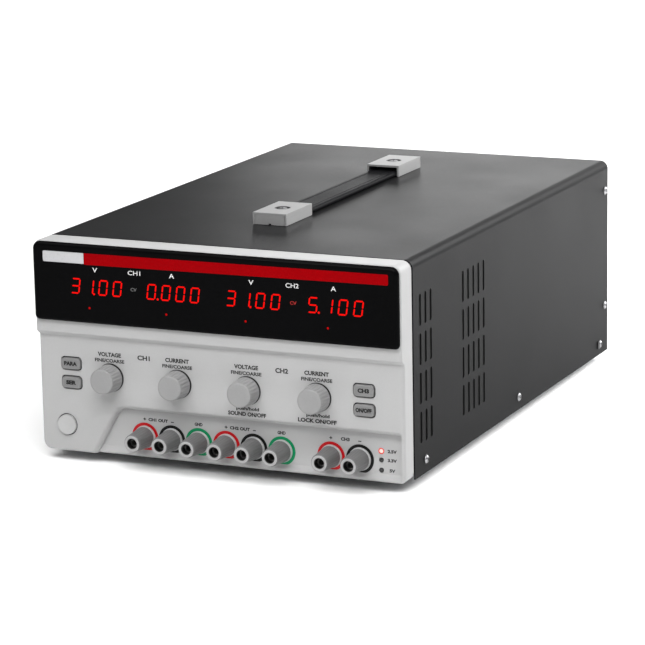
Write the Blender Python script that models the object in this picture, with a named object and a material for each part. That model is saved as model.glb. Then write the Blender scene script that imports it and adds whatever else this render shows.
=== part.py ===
"""A bench power supply with three outputs, as an assembly of separate pieces.

Case frame: +X to the right of someone facing the front panel, +Y towards the back, +Z up, with
y = 0 on the front plane of the upper bezel and z = 0 under the case. The empty "bench_supply"
carries that frame into the world, where the origin lies under the middle of the whole object.
Sizes below are millimetres; MM turns them into metres.
"""

import math

import bmesh
import bpy
from mathutils import Matrix, Vector

MM = 0.001

# Case
CASE_WIDTH = 265.0
CASE_HEIGHT = 144.8
CASE_BACK = 400.0
FOOT_HEIGHT = 7.0
SHEET = 1.2
BEND_RADIUS = 6.0
GAP = 0.3
HALF_WIDTH = CASE_WIDTH / 2

# Bezel
BEZEL_BACK = 18.6
COVER_FRONT = 19.8
BEZEL_WALL = 2.8
CONTROL_Y = 3.3
CONTROL_BACK = 6.1
STEP_BOTTOM = 77.5
STEP_TOP = 82.4
RECESS_Y = 8.3
RECESS_BACK = 11.0
RECESS_TOP = 34.3
RECESS_RIGHT = 130.3
RECESS_LEFT_FOOT = -93.6
RECESS_LEFT_HEAD = -75.0
LIP_Y = 6.8
FLANGE_INSET = 1.8
FLANGE_BACK = 24.0

# Display
LENS_FRONT = -3.2
LENS_HALF_WIDTH = 131.8
LENS_BOTTOM = 90.8
LENS_TOP = 144.2
DIGIT_Z = 116.1
DIGIT_BLOCKS_X = (-83.5, -27.0, 30.7, 89.0)

# Controls
KNOBS_X = (-78.9, -28.6, 21.7, 72.0)
KNOB_Z = 53.7
KNOB_FRONT = -10.3
KNOB_BACK = 1.9
SHAFT_FRONT = -6.4
KEY_WIDTH = 14.2
KEY_HEIGHT = 7.9
KEY_FRONT = 1.8
KEY_TRAVEL = 0.6
KEYS = {
    "key_parallel": (-108.3, 61.0),
    "key_series": (-108.3, 48.0),
    "key_channel": (104.8, 61.0),
    "key_output": (104.8, 48.0),
}
POWER_X = -113.1
POWER_Z = 18.5
POWER_RADIUS = 6.9
BOARD_FRONT = 16.5
BOARD = 1.6

# Terminals
POSTS_X = (-57.0, -37.0, -17.0, 3.2, 23.2, 43.4, 78.6, 99.0)
POST_Z = 13.8
POST_FRONT = -11.0
SOCKET_RADIUS = 2.05
MOUTH_RADIUS = 3.75
MOUTH_DEPTH = 4.5
PILOTS_X = 114.0
PILOTS_Z = (20.6, 14.6, 7.8)

# Handle
HANDLE_X = -2.0
CAP_WIDTH = 25.0
CAP_HEIGHT = 8.4
CAP_WALL = 1.4
FRONT_CAP = (93.0, 134.5)
REAR_CAP = (287.2, 328.7)
STRAP_WIDTH = 21.6
STRAP_LOW = CASE_HEIGHT + 0.8
STRAP_HIGH = CASE_HEIGHT + 5.2
STRAP_PIVOTS_Y = (136.6, 210.85, 285.1)
STRAP_SLIDE = 11.5

# Vents
SLOT_LENGTH = 21.0
SLOT_WIDTH = 3.2
SLOT_ROWS_Z = (110.0, 84.1, 58.1, 32.1)
SLOT_COLUMNS_Y = (31.3, 40.2, 49.1, 105.6, 115.0, 124.4, 133.7, 143.1)

# Back
PANEL_FRONT = 398.2
PANEL_BACK = 399.7
FAN_X = -62.0
FAN_Z = 78.0
FAN_SIZE = 80.0
FAN_FRONT = 372.8
FAN_BACK = 397.8
DUCT_RADIUS = 38.2
INLET_X = 84.0
INLET_Z = 42.0
OBJECT_FRONT = POST_FRONT
OBJECT_BACK = 403.4
MID_Y = (OBJECT_FRONT + OBJECT_BACK) / 2

FEET = {
    "foot_front_left": (-105.0, 56.0),
    "foot_front_right": (105.0, 56.0),
    "foot_rear_left": (-105.0, 366.0),
    "foot_rear_right": (105.0, 366.0),
}


# ---------------------------------------------------------------- helpers


def clear_scene():
    for obj in list(bpy.data.objects):
        bpy.data.objects.remove(obj)


def material(name, colour, roughness, metallic=0.0):
    made = bpy.data.materials.new(name)
    made.use_nodes = True
    shader = made.node_tree.nodes["Principled BSDF"]
    shader.inputs["Base Color"].default_value = (*colour, 1.0)
    shader.inputs["Roughness"].default_value = roughness
    shader.inputs["Metallic"].default_value = metallic
    made.diffuse_color = (*colour, 1.0)
    return made


def arc(centre, radius, start, end, steps):
    """Points on an arc in degrees, both ends included."""
    points = []
    for i in range(steps + 1):
        angle = math.radians(start + (end - start) * i / steps)
        points.append((centre[0] + radius * math.cos(angle), centre[1] + radius * math.sin(angle)))
    return points


def rounded_rectangle(centre, width, height, radius, steps=4):
    """Corner points of a rounded rectangle, anticlockwise."""
    points = []
    for i, (sx, sz) in enumerate(((1, 1), (-1, 1), (-1, -1), (1, -1))):
        corner = (centre[0] + sx * (width / 2 - radius), centre[1] + sz * (height / 2 - radius))
        points += arc(corner, radius, 90 * i, 90 * i + 90, steps)
    return points


def shape(loops, closed_ends=True):
    """A closed mesh from a stack of loops with equal point counts, in millimetres."""
    bm = bmesh.new()
    rings = [[bm.verts.new(Vector(point)) for point in loop] for loop in loops]
    for lower, upper in zip(rings, rings[1:]):
        for i in range(len(lower)):
            j = (i + 1) % len(lower)
            bm.faces.new((lower[i], lower[j], upper[j], upper[i]))
    if closed_ends:
        bm.faces.new(rings[0][::-1])
        bm.faces.new(rings[-1])
    bmesh.ops.recalc_face_normals(bm, faces=bm.faces)
    return bm


def prism(outline, plane, low, high):
    """An outline in the plane "xz", "yz" or "xy", extruded between two places on the other axis."""
    place = {
        "xz": lambda a, b, c: (a, c, b),
        "yz": lambda a, b, c: (c, a, b),
        "xy": lambda a, b, c: (a, b, c),
    }[plane]
    return shape([[place(a, b, c) for a, b in outline] for c in (low, high)])


def block(x, y, z):
    """A cuboid between pairs of coordinates."""
    outline = [(x[0], z[0]), (x[1], z[0]), (x[1], z[1]), (x[0], z[1])]
    return prism(outline, "xz", y[0], y[1])


def turned(profile, centre, segments=16, axis="y"):
    """A closed profile of (radius, place) points, turned about an axis along y or z."""
    bm = bmesh.new()
    rings = []
    for radius, place in profile:
        ring = []
        for i in range(segments if radius > 0 else 1):
            angle = 2 * math.pi * i / segments
            a = centre[0] + radius * math.cos(angle)
            b = centre[1] + radius * math.sin(angle)
            ring.append(bm.verts.new((a, place, b) if axis == "y" else (a, b, place)))
        rings.append(ring)
    closed = profile[0][0] > 0 and profile[-1][0] > 0
    pairs = list(zip(rings, rings[1:])) + ([(rings[-1], rings[0])] if closed else [])
    for first, second in pairs:
        for i in range(segments):
            j = (i + 1) % segments
            corners = [first[i % len(first)], first[j % len(first)]]
            corners += [second[j % len(second)], second[i % len(second)]]
            unique = list(dict.fromkeys(corners))
            if len(unique) > 2:
                bm.faces.new(unique)
    bmesh.ops.recalc_face_normals(bm, faces=bm.faces)
    return bm


def rod(radius, centre, low, high, segments=16, axis="y"):
    return turned([(0, low), (radius, low), (radius, high), (0, high)], centre, segments, axis)


def together(*shapes):
    """Several shapes as the separate bodies of one cutter."""
    bm = bmesh.new()
    for part in shapes:
        mesh = bpy.data.meshes.new("shape")
        part.to_mesh(mesh)
        part.free()
        bm.from_mesh(mesh)
        bpy.data.meshes.remove(mesh)
    return bm


def helper_object(bm):
    mesh = bpy.data.meshes.new("helper")
    bm.to_mesh(mesh)
    bm.free()
    obj = bpy.data.objects.new("helper", mesh)
    bpy.context.scene.collection.objects.link(obj)
    return obj


def boolean(base, other, operation):
    """The union, difference or intersection of two shapes, as a new shape."""
    first = helper_object(base)
    second = helper_object(other)
    modifier = first.modifiers.new("boolean", "BOOLEAN")
    modifier.operation = operation
    modifier.object = second
    graph = bpy.context.evaluated_depsgraph_get()
    mesh = bpy.data.meshes.new_from_object(first.evaluated_get(graph))
    bm = bmesh.new()
    bm.from_mesh(mesh)
    bpy.data.meshes.remove(mesh)
    for obj in (first, second):
        bpy.data.objects.remove(obj)
    return bm


def cut(base, *cutters):
    for cutter in cutters:
        base = boolean(base, cutter, "DIFFERENCE")
    return base


def join(base, *others):
    for other in others:
        base = boolean(base, other, "UNION")
    return base


def place(name, bm, finish, origin=(0.0, 0.0, 0.0), sharp_degrees=35):
    """The shape as a named object in the case frame, with its origin at the given point."""
    bmesh.ops.transform(bm, matrix=Matrix.Translation(-Vector(origin)), verts=bm.verts)
    bmesh.ops.scale(bm, vec=(MM, MM, MM), verts=bm.verts)
    mesh = bpy.data.meshes.new(name)
    bm.to_mesh(mesh)
    bm.free()
    mesh.shade_smooth()
    mesh.set_sharp_from_angle(angle=math.radians(sharp_degrees))
    mesh.materials.clear()
    mesh.materials.append(finish)
    obj = bpy.data.objects.new(name, mesh)
    obj.location = Vector(origin) * MM
    obj.parent = bpy.data.objects["bench_supply"]
    bpy.context.scene.collection.objects.link(obj)
    return obj


# ---------------------------------------------------------------- case


def slot_outline(y, z):
    """A vertical slot with round ends."""
    half = SLOT_LENGTH / 2 - SLOT_WIDTH / 2
    upper = arc((y, z + half), SLOT_WIDTH / 2, 0, 180, 3)
    lower = arc((y, z - half), SLOT_WIDTH / 2, 180, 360, 3)
    return upper + lower


def build_cover(finish):
    outer_top = CASE_HEIGHT
    inner_radius = BEND_RADIUS - SHEET
    corner = (HALF_WIDTH - BEND_RADIUS, outer_top - BEND_RADIUS)
    outline = [(HALF_WIDTH, 0)] + arc(corner, BEND_RADIUS, 0, 90, 6)
    outline += arc((-corner[0], corner[1]), BEND_RADIUS, 90, 180, 6) + [(-HALF_WIDTH, 0)]
    outline += [(SHEET - HALF_WIDTH, 0)] + arc((-corner[0], corner[1]), inner_radius, 180, 90, 6)
    outline += arc(corner, inner_radius, 90, 0, 6) + [(HALF_WIDTH - SHEET, 0)]
    sheet = prism(outline, "xz", COVER_FRONT, CASE_BACK)
    reach = HALF_WIDTH + 5
    slots = [
        prism(slot_outline(y, z), "yz", -reach, reach) for y in SLOT_COLUMNS_Y for z in SLOT_ROWS_Z
    ]
    screws_y = [sum(cap) / 2 for cap in (FRONT_CAP, REAR_CAP)]
    holes = [
        rod(3.0, (HANDLE_X, y), outer_top - 4, outer_top + 4, 12, "z") for y in screws_y
    ]
    place("top_cover", cut(sheet, together(*slots), together(*holes)), finish)


def build_base(finish):
    half = HALF_WIDTH - SHEET - 0.5
    low = 0.2
    tray = block((-half, half), (25, 397.6), (low, 16))
    inside = block((SHEET - half, half - SHEET), (24, 399), (low + SHEET, 17))
    place("base_pan", cut(tray, inside), finish)


def build_rear_panel(finish):
    half = HALF_WIDTH - SHEET - 0.5
    top = CASE_HEIGHT - SHEET - 0.7
    corner = (half - 4.6, top - 4.6)
    outline = [(-half, 1.9), (half, 1.9)] + arc(corner, 4.6, 0, 90, 4)
    outline += arc((-corner[0], corner[1]), 4.6, 90, 180, 4)
    plate = prism(outline, "xz", PANEL_FRONT, PANEL_BACK)
    sides = [
        block(sorted((side * half, side * (half - SHEET))), (388, PANEL_FRONT + 0.6), (17, top - 5))
        for side in (-1, 1)
    ]
    duct = rod(DUCT_RADIUS - 0.7, (FAN_X, FAN_Z), 390, 405, 32)
    inlet = block((INLET_X - 13.9, INLET_X + 13.9), (390, 405), (INLET_Z - 10.2, INLET_Z + 10.2))
    vents = [
        prism(rounded_rectangle((INLET_X - 28 + 8 * i, 100), 3.2, 40, 1.5, 2), "xz", 390, 405)
        for i in range(8)
    ]
    place("rear_panel", cut(join(plate, *sides), duct, inlet, together(*vents)), finish)


def build_feet(finish):
    for name, (x, y) in FEET.items():
        profile = [(0, -FOOT_HEIGHT), (8.0, -FOOT_HEIGHT), (9.5, -FOOT_HEIGHT + 1.5)]
        profile += [(10.0, -0.1), (0, -0.1)]
        place(name, turned(profile, (x, y), 20, "z"), finish, (x, y, 0))


# ---------------------------------------------------------------- bezel and display


def step_points(steps=6):
    """The rounded slope from the control panel up to the display section, as (y, z)."""
    points = []
    for i in range(steps + 1):
        t = i / steps
        ease = t * t * (3 - 2 * t)
        points.append((CONTROL_Y * (1 - ease), STEP_BOTTOM + (STEP_TOP - STEP_BOTTOM) * t))
    return points


def recess_outline(grow, foot):
    """The terminal recess seen from the front: a slanted left side and rounded top corners."""
    radius = 6.0 + grow
    right = RECESS_RIGHT + grow
    top = RECESS_TOP + grow
    left_foot = RECESS_LEFT_FOOT - grow * 1.1
    left_head = RECESS_LEFT_HEAD - grow * 0.6
    slant = math.degrees(math.atan2(top, left_head - left_foot))
    reach = radius * math.tan(math.radians(slant / 2))
    centre = (left_head + reach, top - radius)
    foot_shift = (foot / top) * (left_head - left_foot)
    points = [(left_foot + foot_shift, foot), (right, foot)]
    points += arc((right - 2.0, top - 2.0), 2.0, 0, 90, 3)
    points += arc(centre, radius, 90, 90 + slant, 5)
    return points


def build_bezel(finish):
    centre = (0, CASE_HEIGHT / 2)
    body = prism(rounded_rectangle(centre, CASE_WIDTH, CASE_HEIGHT, 6.0), "xz", 0, BEZEL_BACK)
    front = [(-2, -2), (CONTROL_Y + 1.6, -2), (CONTROL_Y + 1.6, 0)]
    front += arc((CONTROL_Y + 1.6, 1.6), 1.6, 260, 180, 3) + step_points() + [(-2, STEP_TOP)]
    body = cut(body, prism(front, "yz", -140, 140))

    for side in (-1, 1):
        for low, high, y, radius in ((-2, STEP_TOP - 3, CONTROL_Y, 3.0), (STEP_TOP - 3, 150, 0, 1.6)):
            edge = side * HALF_WIDTH
            curve = arc((HALF_WIDTH - radius, y + radius), radius, 0, -90, 4)
            outline = [(side * a, b) for a, b in curve]
            outline += [(edge - side * radius, -4), (edge + side * 2, -4), (edge + side * 2, y + radius)]
            body = cut(body, prism(outline, "xy", low, high))

    side_view = [(-5, -3), (LIP_Y, -3), (LIP_Y, 2.0), (RECESS_Y, 4.0), (RECESS_Y, 50), (-5, 50)]
    recess = boolean(prism(recess_outline(0, -2), "xz", -4, 9.5), prism(side_view, "yz", -140, 140),
                     "INTERSECT")
    body = cut(body, recess)

    inner = HALF_WIDTH - BEZEL_WALL
    upper = block((-inner, inner), (3.0, 30), (STEP_TOP + 2, CASE_HEIGHT - 2.6))
    lower = block((-inner, inner), (CONTROL_BACK, 30), (BEZEL_WALL, STEP_TOP + 4))
    lower = cut(lower, prism(recess_outline(2.6, -8), "xz", -1, RECESS_BACK))
    body = cut(body, join(upper, lower))

    window = prism(rounded_rectangle((0, DIGIT_Z), 246, 40, 3, 2), "xz", -1, 4)
    shafts = [rod(4.2, (x, KNOB_Z), -1, 12, 16) for x in KNOBS_X]
    studs = [rod(4.3, (x, POST_Z), 5, 14, 16) for x in POSTS_X]
    pilots = [rod(1.7, (PILOTS_X, z), 5, 14, 10) for z in PILOTS_Z]
    keys = [
        prism(rounded_rectangle(at, KEY_WIDTH + 0.8, KEY_HEIGHT + 0.8, 2.6, 3), "xz", -1, 9)
        for at in KEYS.values()
    ]
    power = rod(POWER_RADIUS + 0.4, (POWER_X, POWER_Z), -1, 9, 24)
    body = cut(body, together(window, *shafts, *studs, *pilots, *keys, power))

    outer = rounded_rectangle(centre, CASE_WIDTH - 2 * FLANGE_INSET, CASE_HEIGHT - 2 * FLANGE_INSET, 4.4)
    flange = prism(outer, "xz", 16.4, FLANGE_BACK)
    hole = block((1.5 - inner, inner - 1.5), (10, 30), (BEZEL_WALL + 1.5, CASE_HEIGHT - 4.2))
    place("front_bezel", join(body, cut(flange, hole)), finish)


def build_lens(finish):
    radius = -GAP - LENS_FRONT
    centre = (0, (LENS_TOP + LENS_BOTTOM) / 2)
    loops = []
    for i in range(5):
        angle = math.radians(90 * i / 4)
        inset = radius * (1 - math.cos(angle))
        y = -GAP - radius * math.sin(angle)
        outline = rounded_rectangle(
            centre, 2 * (LENS_HALF_WIDTH - inset), LENS_TOP - LENS_BOTTOM - 2 * inset, 5.0 - inset
        )
        loops.append([(x, y, z) for x, z in outline])
    place("display_lens", shape(loops), finish)


def build_display_board(finish):
    board = block((-121, 121), (11.6, 11.6 + BOARD), (DIGIT_Z - 19, DIGIT_Z + 19))
    digits = [
        block((x - 21.5, x + 21.5), (0.4, 12.0), (DIGIT_Z - 8.5, DIGIT_Z + 8.5)) for x in DIGIT_BLOCKS_X
    ]
    place("display_board", join(board, *digits), finish)


# ---------------------------------------------------------------- controls


def build_control_board(finish):
    board = block((-122, 122), (BOARD_FRONT, BOARD_FRONT + BOARD), (40, 76))
    switches = [
        block((x - 3, x + 3), (BOARD_FRONT - 3.2, BOARD_FRONT + 0.6), (z - 3, z + 3))
        for x, z in KEYS.values()
    ]
    place("control_board", join(board, *switches), finish)


def build_knobs(encoder_finish, shaft_finish, knob_finish):
    for number, x in enumerate(KNOBS_X, start=1):
        at = (x, KNOB_Z)
        case = block((x - 6.2, x + 6.2), (10.0, BOARD_FRONT - GAP), (KNOB_Z - 6.6, KNOB_Z + 6.6))
        bush = rod(3.9, at, 4.4, 11, 16)
        bore = rod(3.3, at, 0, 15.2, 16)
        place(f"encoder_{number}", cut(join(case, bush), bore), encoder_finish)

        shaft = [(0, SHAFT_FRONT), (2.6, SHAFT_FRONT), (3.0, SHAFT_FRONT + 0.4)]
        shaft += [(3.0, 13.9), (0, 13.9)]
        place(f"encoder_shaft_{number}", turned(shaft, at), shaft_finish, (x, 0, KNOB_Z))

        knob = [(0, KNOB_BACK), (9.5, KNOB_BACK), (8.6, KNOB_FRONT + 1.4), (8.2, KNOB_FRONT + 0.5)]
        knob += [(7.4, KNOB_FRONT), (0, KNOB_FRONT)]
        socket = rod(3.3, at, SHAFT_FRONT - 0.5, 6, 16)
        place(f"knob_{number}", cut(turned(knob, at, 24), socket), knob_finish,
              (x, KNOB_BACK, KNOB_Z))


def build_keys(finish):
    for name, (x, z) in KEYS.items():
        cap = prism(rounded_rectangle((x, z), KEY_WIDTH, KEY_HEIGHT, 2.2, 3), "xz", KEY_FRONT, 8.0)
        flange = block((x - 8.6, x + 8.6), (CONTROL_BACK + GAP, 7.8), (z - 5.4, z + 5.4))
        stem = rod(1.8, (x, z), 7, BOARD_FRONT - 3.2 - KEY_TRAVEL - GAP, 10)
        place(name, join(cap, flange, stem), finish, (x, KEY_FRONT, z))


def build_power(button_finish, switch_finish):
    at = (POWER_X, POWER_Z)
    dish = [(0, 2.1), (POWER_RADIUS - 1.4, 1.7), (POWER_RADIUS - 0.4, 1.4), (POWER_RADIUS, 1.9)]
    button = dish + [(POWER_RADIUS, CONTROL_BACK + GAP), (8.2, CONTROL_BACK + GAP), (8.2, 8.0)]
    button += [(2.6, 8.0), (2.6, 21.4), (0, 21.4)]
    place("power_button", turned(button, at, 24), button_finish, (POWER_X, 1.4, POWER_Z))

    body = block((POWER_X - 7, POWER_X + 7), (24.6, 42), (POWER_Z - 6.5, POWER_Z + 6.5))
    leg = block((POWER_X - 6, POWER_X + 6), (27, 40), (1.7, POWER_Z))
    place("power_switch", join(body, leg), switch_finish)


# ---------------------------------------------------------------- terminals


def build_terminals(post_finish, cap_finish):
    tube = 3.1
    tube_front = POST_FRONT + MOUTH_DEPTH
    nut_back = RECESS_BACK + 3.6
    post = [(0, tube_front), (tube, tube_front), (tube, LIP_Y), (7.6, LIP_Y)]
    post += [(7.6, RECESS_Y - GAP), (4.0, RECESS_Y - GAP), (4.0, RECESS_BACK + GAP)]
    post += [(6.4, RECESS_BACK + GAP), (6.4, nut_back), (2.4, nut_back), (2.4, 22.5), (0, 22.5)]
    base = LIP_Y - GAP
    bore = tube + GAP
    sleeve = [(bore, base), (7.3, base), (7.3, base - 1.0), (5.9, POST_FRONT + 0.5)]
    sleeve += [(5.6, POST_FRONT), (MOUTH_RADIUS, POST_FRONT), (MOUTH_RADIUS, tube_front + 0.1)]
    sleeve += [(bore, tube_front + 0.4)]
    for number, x in enumerate(POSTS_X, start=1):
        at = (x, POST_Z)
        socket = rod(SOCKET_RADIUS, at, tube_front - 4, 5.0, 10)
        place(f"post_{number}", cut(turned(post, at, 12), socket), post_finish)
        place(f"post_cap_{number}", turned(sleeve, at), cap_finish, (x, base, POST_Z))


# ---------------------------------------------------------------- handle


def build_handle(metal, screw_metal, strap_finish):
    top = CASE_HEIGHT + CAP_HEIGHT
    low = CASE_HEIGHT + GAP
    half = CAP_WIDTH / 2
    for name, (front, back), opens_back in (
        ("front", FRONT_CAP, True),
        ("rear", REAR_CAP, False),
    ):
        middle = (front + back) / 2
        cap = block((HANDLE_X - half, HANDLE_X + half), (front, back), (low, top))
        inside = (front + CAP_WALL, back + 5) if opens_back else (front - 5, back - CAP_WALL)
        width = half - CAP_WALL
        hollow = block((HANDLE_X - width, HANDLE_X + width), inside, (low - 5, top - CAP_WALL))
        sink = [(0, top - 3), (3.2, top - 3), (3.2, top - 1.9), (5.6, top + 0.5), (0, top + 0.5)]
        shell = cut(cap, hollow, turned(sink, (HANDLE_X, middle), 20, "z"))
        place(f"handle_cap_{name}", shell, metal)
        screw = [(0, low - 6), (2.4, low - 6), (2.4, top - 2.2), (4.6, top - 0.2), (0, top - 0.2)]
        place(f"handle_screw_{name}", turned(screw, (HANDLE_X, middle), 16, "z"), screw_metal)

    clear = 1.3
    first, second, third = STRAP_PIVOTS_Y
    thickness = STRAP_HIGH - STRAP_LOW
    middle_z = (STRAP_HIGH + STRAP_LOW) / 2
    section = rounded_rectangle((HANDLE_X, middle_z), STRAP_WIDTH, thickness, 1.8, 3)
    screw_y = [sum(cap) / 2 for cap in (FRONT_CAP, REAR_CAP)]
    hole = rod(3.0, (HANDLE_X, screw_y[0]), 100, 200, 12, "z")
    slot = block((HANDLE_X - 3.0, HANDLE_X + 3.0), (screw_y[1] - 3.0, screw_y[1] + 3.0 + STRAP_SLIDE),
                 (100, 200))
    front_end = prism(section, "xz", FRONT_CAP[0] + CAP_WALL + 1.2, first - GAP)
    rear_end = prism(section, "xz", third + GAP, REAR_CAP[1] - CAP_WALL - 0.8)
    place("strap_end_front", cut(front_end, hole), strap_finish, (HANDLE_X, first, middle_z))
    place("strap_front", prism(section, "xz", first + clear, second - clear), strap_finish,
          (HANDLE_X, first, middle_z))
    place("strap_rear", prism(section, "xz", second + clear, third - clear), strap_finish,
          (HANDLE_X, second, middle_z))
    place("strap_end_rear", cut(rear_end, slot), strap_finish, (HANDLE_X, third, middle_z))


# ---------------------------------------------------------------- back and inside


def build_fan(frame_finish, rotor_finish, guard_finish):
    at = (FAN_X, FAN_Z)
    outline = rounded_rectangle(at, FAN_SIZE, FAN_SIZE, 5.0, 3)
    frame = prism(outline, "xz", FAN_FRONT, FAN_BACK)
    frame = cut(frame, rod(DUCT_RADIUS, at, 360, 410, 32))
    hub = rod(16.0, at, FAN_FRONT, FAN_FRONT + 4, 20)
    struts = []
    for i in range(4):
        strut = block((-1.6, 1.6), (FAN_FRONT, FAN_FRONT + 3.4), (12, DUCT_RADIUS + 0.8))
        turn = Matrix.Translation((FAN_X, 0, FAN_Z)) @ Matrix.Rotation(math.radians(45 + 90 * i), 4, "Y")
        bmesh.ops.transform(strut, matrix=turn, verts=strut.verts)
        struts.append(strut)
    place("fan_frame", join(frame, hub, *struts), frame_finish)

    rotor = rod(16.5, at, FAN_FRONT + 4.6, FAN_BACK - 1.0, 20)
    blades = 7
    for i in range(blades):
        rotor = join(rotor, fan_blade(2 * math.pi * i / blades))
    place("fan_rotor", rotor, rotor_finish, (FAN_X, FAN_FRONT, FAN_Z))
    build_guard(at, guard_finish)


def fan_blade(angle):
    """A twisted blade from inside the hub to just short of the duct."""
    loops = []
    for radius, pitch in ((14.0, 55), (26.0, 46), (36.8, 38)):
        chord = 7.0 + 0.16 * radius
        lean = math.radians(pitch)
        loop = []
        for along, across in ((-1, -1), (1, -1), (1, 1), (-1, 1)):
            around = chord * along * math.cos(lean) - 0.8 * across * math.sin(lean)
            y = (FAN_FRONT + FAN_BACK) / 2 + 1 + chord * along * math.sin(lean)
            y += 0.8 * across * math.cos(lean)
            turn = angle + around / radius
            loop.append((FAN_X + radius * math.cos(turn), y, FAN_Z + radius * math.sin(turn)))
        loops.append(loop)
    return shape(loops)


def build_guard(at, finish):
    low = PANEL_BACK + GAP
    high = OBJECT_BACK
    wire = 1.7
    guard = cross_bar(at, low, low + wire, 45)
    guard = join(guard, cross_bar(at, low, low + wire, -45))
    for radius in (38.0, 29.5, 21.0, 12.5):
        profile = [(radius - wire / 2, low + 0.9), (radius + wire / 2, low + 0.9)]
        profile += [(radius + wire / 2, high), (radius - wire / 2, high)]
        guard = join(guard, turned(profile, at, 24))
    place("fan_guard", guard, finish)


def cross_bar(at, low, high, degrees):
    """One diagonal bar with a round screw ear at each end."""
    reach = 71.5 / math.sqrt(2)
    bar = block((-reach, reach), (low, high), (-1.0, 1.0))
    bar = join(bar, rod(3.6, (reach, 0), low, high, 12), rod(3.6, (-reach, 0), low, high, 12))
    turn = Matrix.Translation((at[0], 0, at[1])) @ Matrix.Rotation(math.radians(degrees), 4, "Y")
    bmesh.ops.transform(bar, matrix=turn, verts=bar.verts)
    return bar


def build_inlet(finish):
    low = PANEL_BACK + GAP
    at = (INLET_X, INLET_Z)
    flange = prism(rounded_rectangle(at, 50, 23, 4, 3), "xz", low, low + 2.6)
    body = prism(rounded_rectangle(at, 27.2, 19.8, 2, 2), "xz", 378, low + 1)
    cavity = prism(rounded_rectangle(at, 24.2, 16.6, 2, 2), "xz", 385, low + 10)
    pins = [
        block((x - 1.0, x + 1.0), (384, 396.5), (z - 2.0, z + 2.0))
        for x, z in ((INLET_X - 7, INLET_Z - 2), (INLET_X + 7, INLET_Z - 2), (INLET_X, INLET_Z + 2))
    ]
    ears = [rod(1.7, (INLET_X + side * 20, INLET_Z), low - 5, low + 10, 10) for side in (-1, 1)]
    place("mains_inlet", join(cut(join(flange, body), cavity, together(*ears)), *pins), finish)


def build_transformer(finish):
    """Laminated core with its winding through the window, on a flanged foot."""
    x, y = -40.0, 190.0
    core = block((x - 48, x + 48), (y - 26, y + 26), (1.9, 84))
    coil = prism(rounded_rectangle((x, 43), 58, 50, 6, 3), "xz", y - 42, y + 42)
    foot = block((x - 58, x + 58), (y - 20, y + 20), (1.7, 4.2))
    place("transformer", join(core, coil, foot), finish)


def build_main_board(finish):
    board = block((26, 122), (70, 240), (12, 12 + BOARD))
    legs = [rod(3.2, (x, y), 1.7, 12.6, 8, "z") for x in (31, 117) for y in (75, 235)]
    cans = [rod(17.0, (x, y), 12.8, 62, 20, "z") for x in (52, 94) for y in (120,)]
    relays = [block((40 + 26 * i, 58 + 26 * i), (175, 190), (13, 29)) for i in range(3)]
    place("main_board", join(board, *legs, *cans, *relays), finish)


def build_heat_sink(finish):
    """A finned extrusion on edge in the fan's air stream."""
    fins = 9
    pitch, fin, height = 9.0, 2.2, 38.0
    x, low = FAN_X - 40.0, 20.0
    outline = [(x, low), (x + fins * pitch - pitch + fin, low)]
    for i in reversed(range(fins)):
        left = x + i * pitch
        outline += [(left + fin, low + 6 + height), (left, low + 6 + height)]
        if i:
            outline += [(left, low + 6), (left - pitch + fin, low + 6)]
    bars = prism(outline, "xz", 270, 350)
    legs = [
        block((x + 5 + 56 * i, x + 9 + 56 * i), (275, 345), (1.7, low + 1)) for i in range(2)
    ]
    place("heat_sink", join(bars, *legs), finish)


def main():
    clear_scene()
    frame = bpy.data.objects.new("bench_supply", None)
    frame.location = (0, -MID_Y * MM, FOOT_HEIGHT * MM)
    bpy.context.scene.collection.objects.link(frame)

    cover_paint = material("cover_paint", (0.075, 0.075, 0.078), 0.42)
    zinc = material("zinc_sheet", (0.55, 0.56, 0.57), 0.35, 0.9)
    light_plastic = material("light_grey_plastic", (0.62, 0.62, 0.62), 0.45)
    black_gloss = material("black_gloss_plastic", (0.006, 0.006, 0.007), 0.08)
    board_green = material("board_green", (0.02, 0.16, 0.07), 0.5)
    mid_plastic = material("mid_grey_plastic", (0.36, 0.36, 0.36), 0.5)
    dark_plastic = material("dark_plastic", (0.02, 0.02, 0.02), 0.5)
    bright_metal = material("bright_metal", (0.72, 0.72, 0.72), 0.22, 1.0)
    brass = material("brass", (0.72, 0.55, 0.28), 0.3, 1.0)
    rubber = material("rubber", (0.02, 0.02, 0.02), 0.8)
    steel = material("lamination_steel", (0.22, 0.21, 0.20), 0.5, 0.7)
    aluminium = material("aluminium", (0.6, 0.6, 0.61), 0.35, 1.0)

    build_cover(cover_paint)
    build_base(zinc)
    build_rear_panel(cover_paint)
    build_feet(rubber)
    build_bezel(light_plastic)
    build_lens(black_gloss)
    build_display_board(board_green)
    build_control_board(board_green)
    build_knobs(dark_plastic, bright_metal, mid_plastic)
    build_keys(mid_plastic)
    build_power(light_plastic, dark_plastic)
    build_terminals(brass, mid_plastic)
    build_handle(bright_metal, bright_metal, dark_plastic)
    build_fan(dark_plastic, dark_plastic, bright_metal)
    build_inlet(dark_plastic)
    build_transformer(steel)
    build_main_board(board_green)
    build_heat_sink(aluminium)


main()
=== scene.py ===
import math

import bmesh
import bpy
from mathutils import Matrix, Vector


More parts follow.
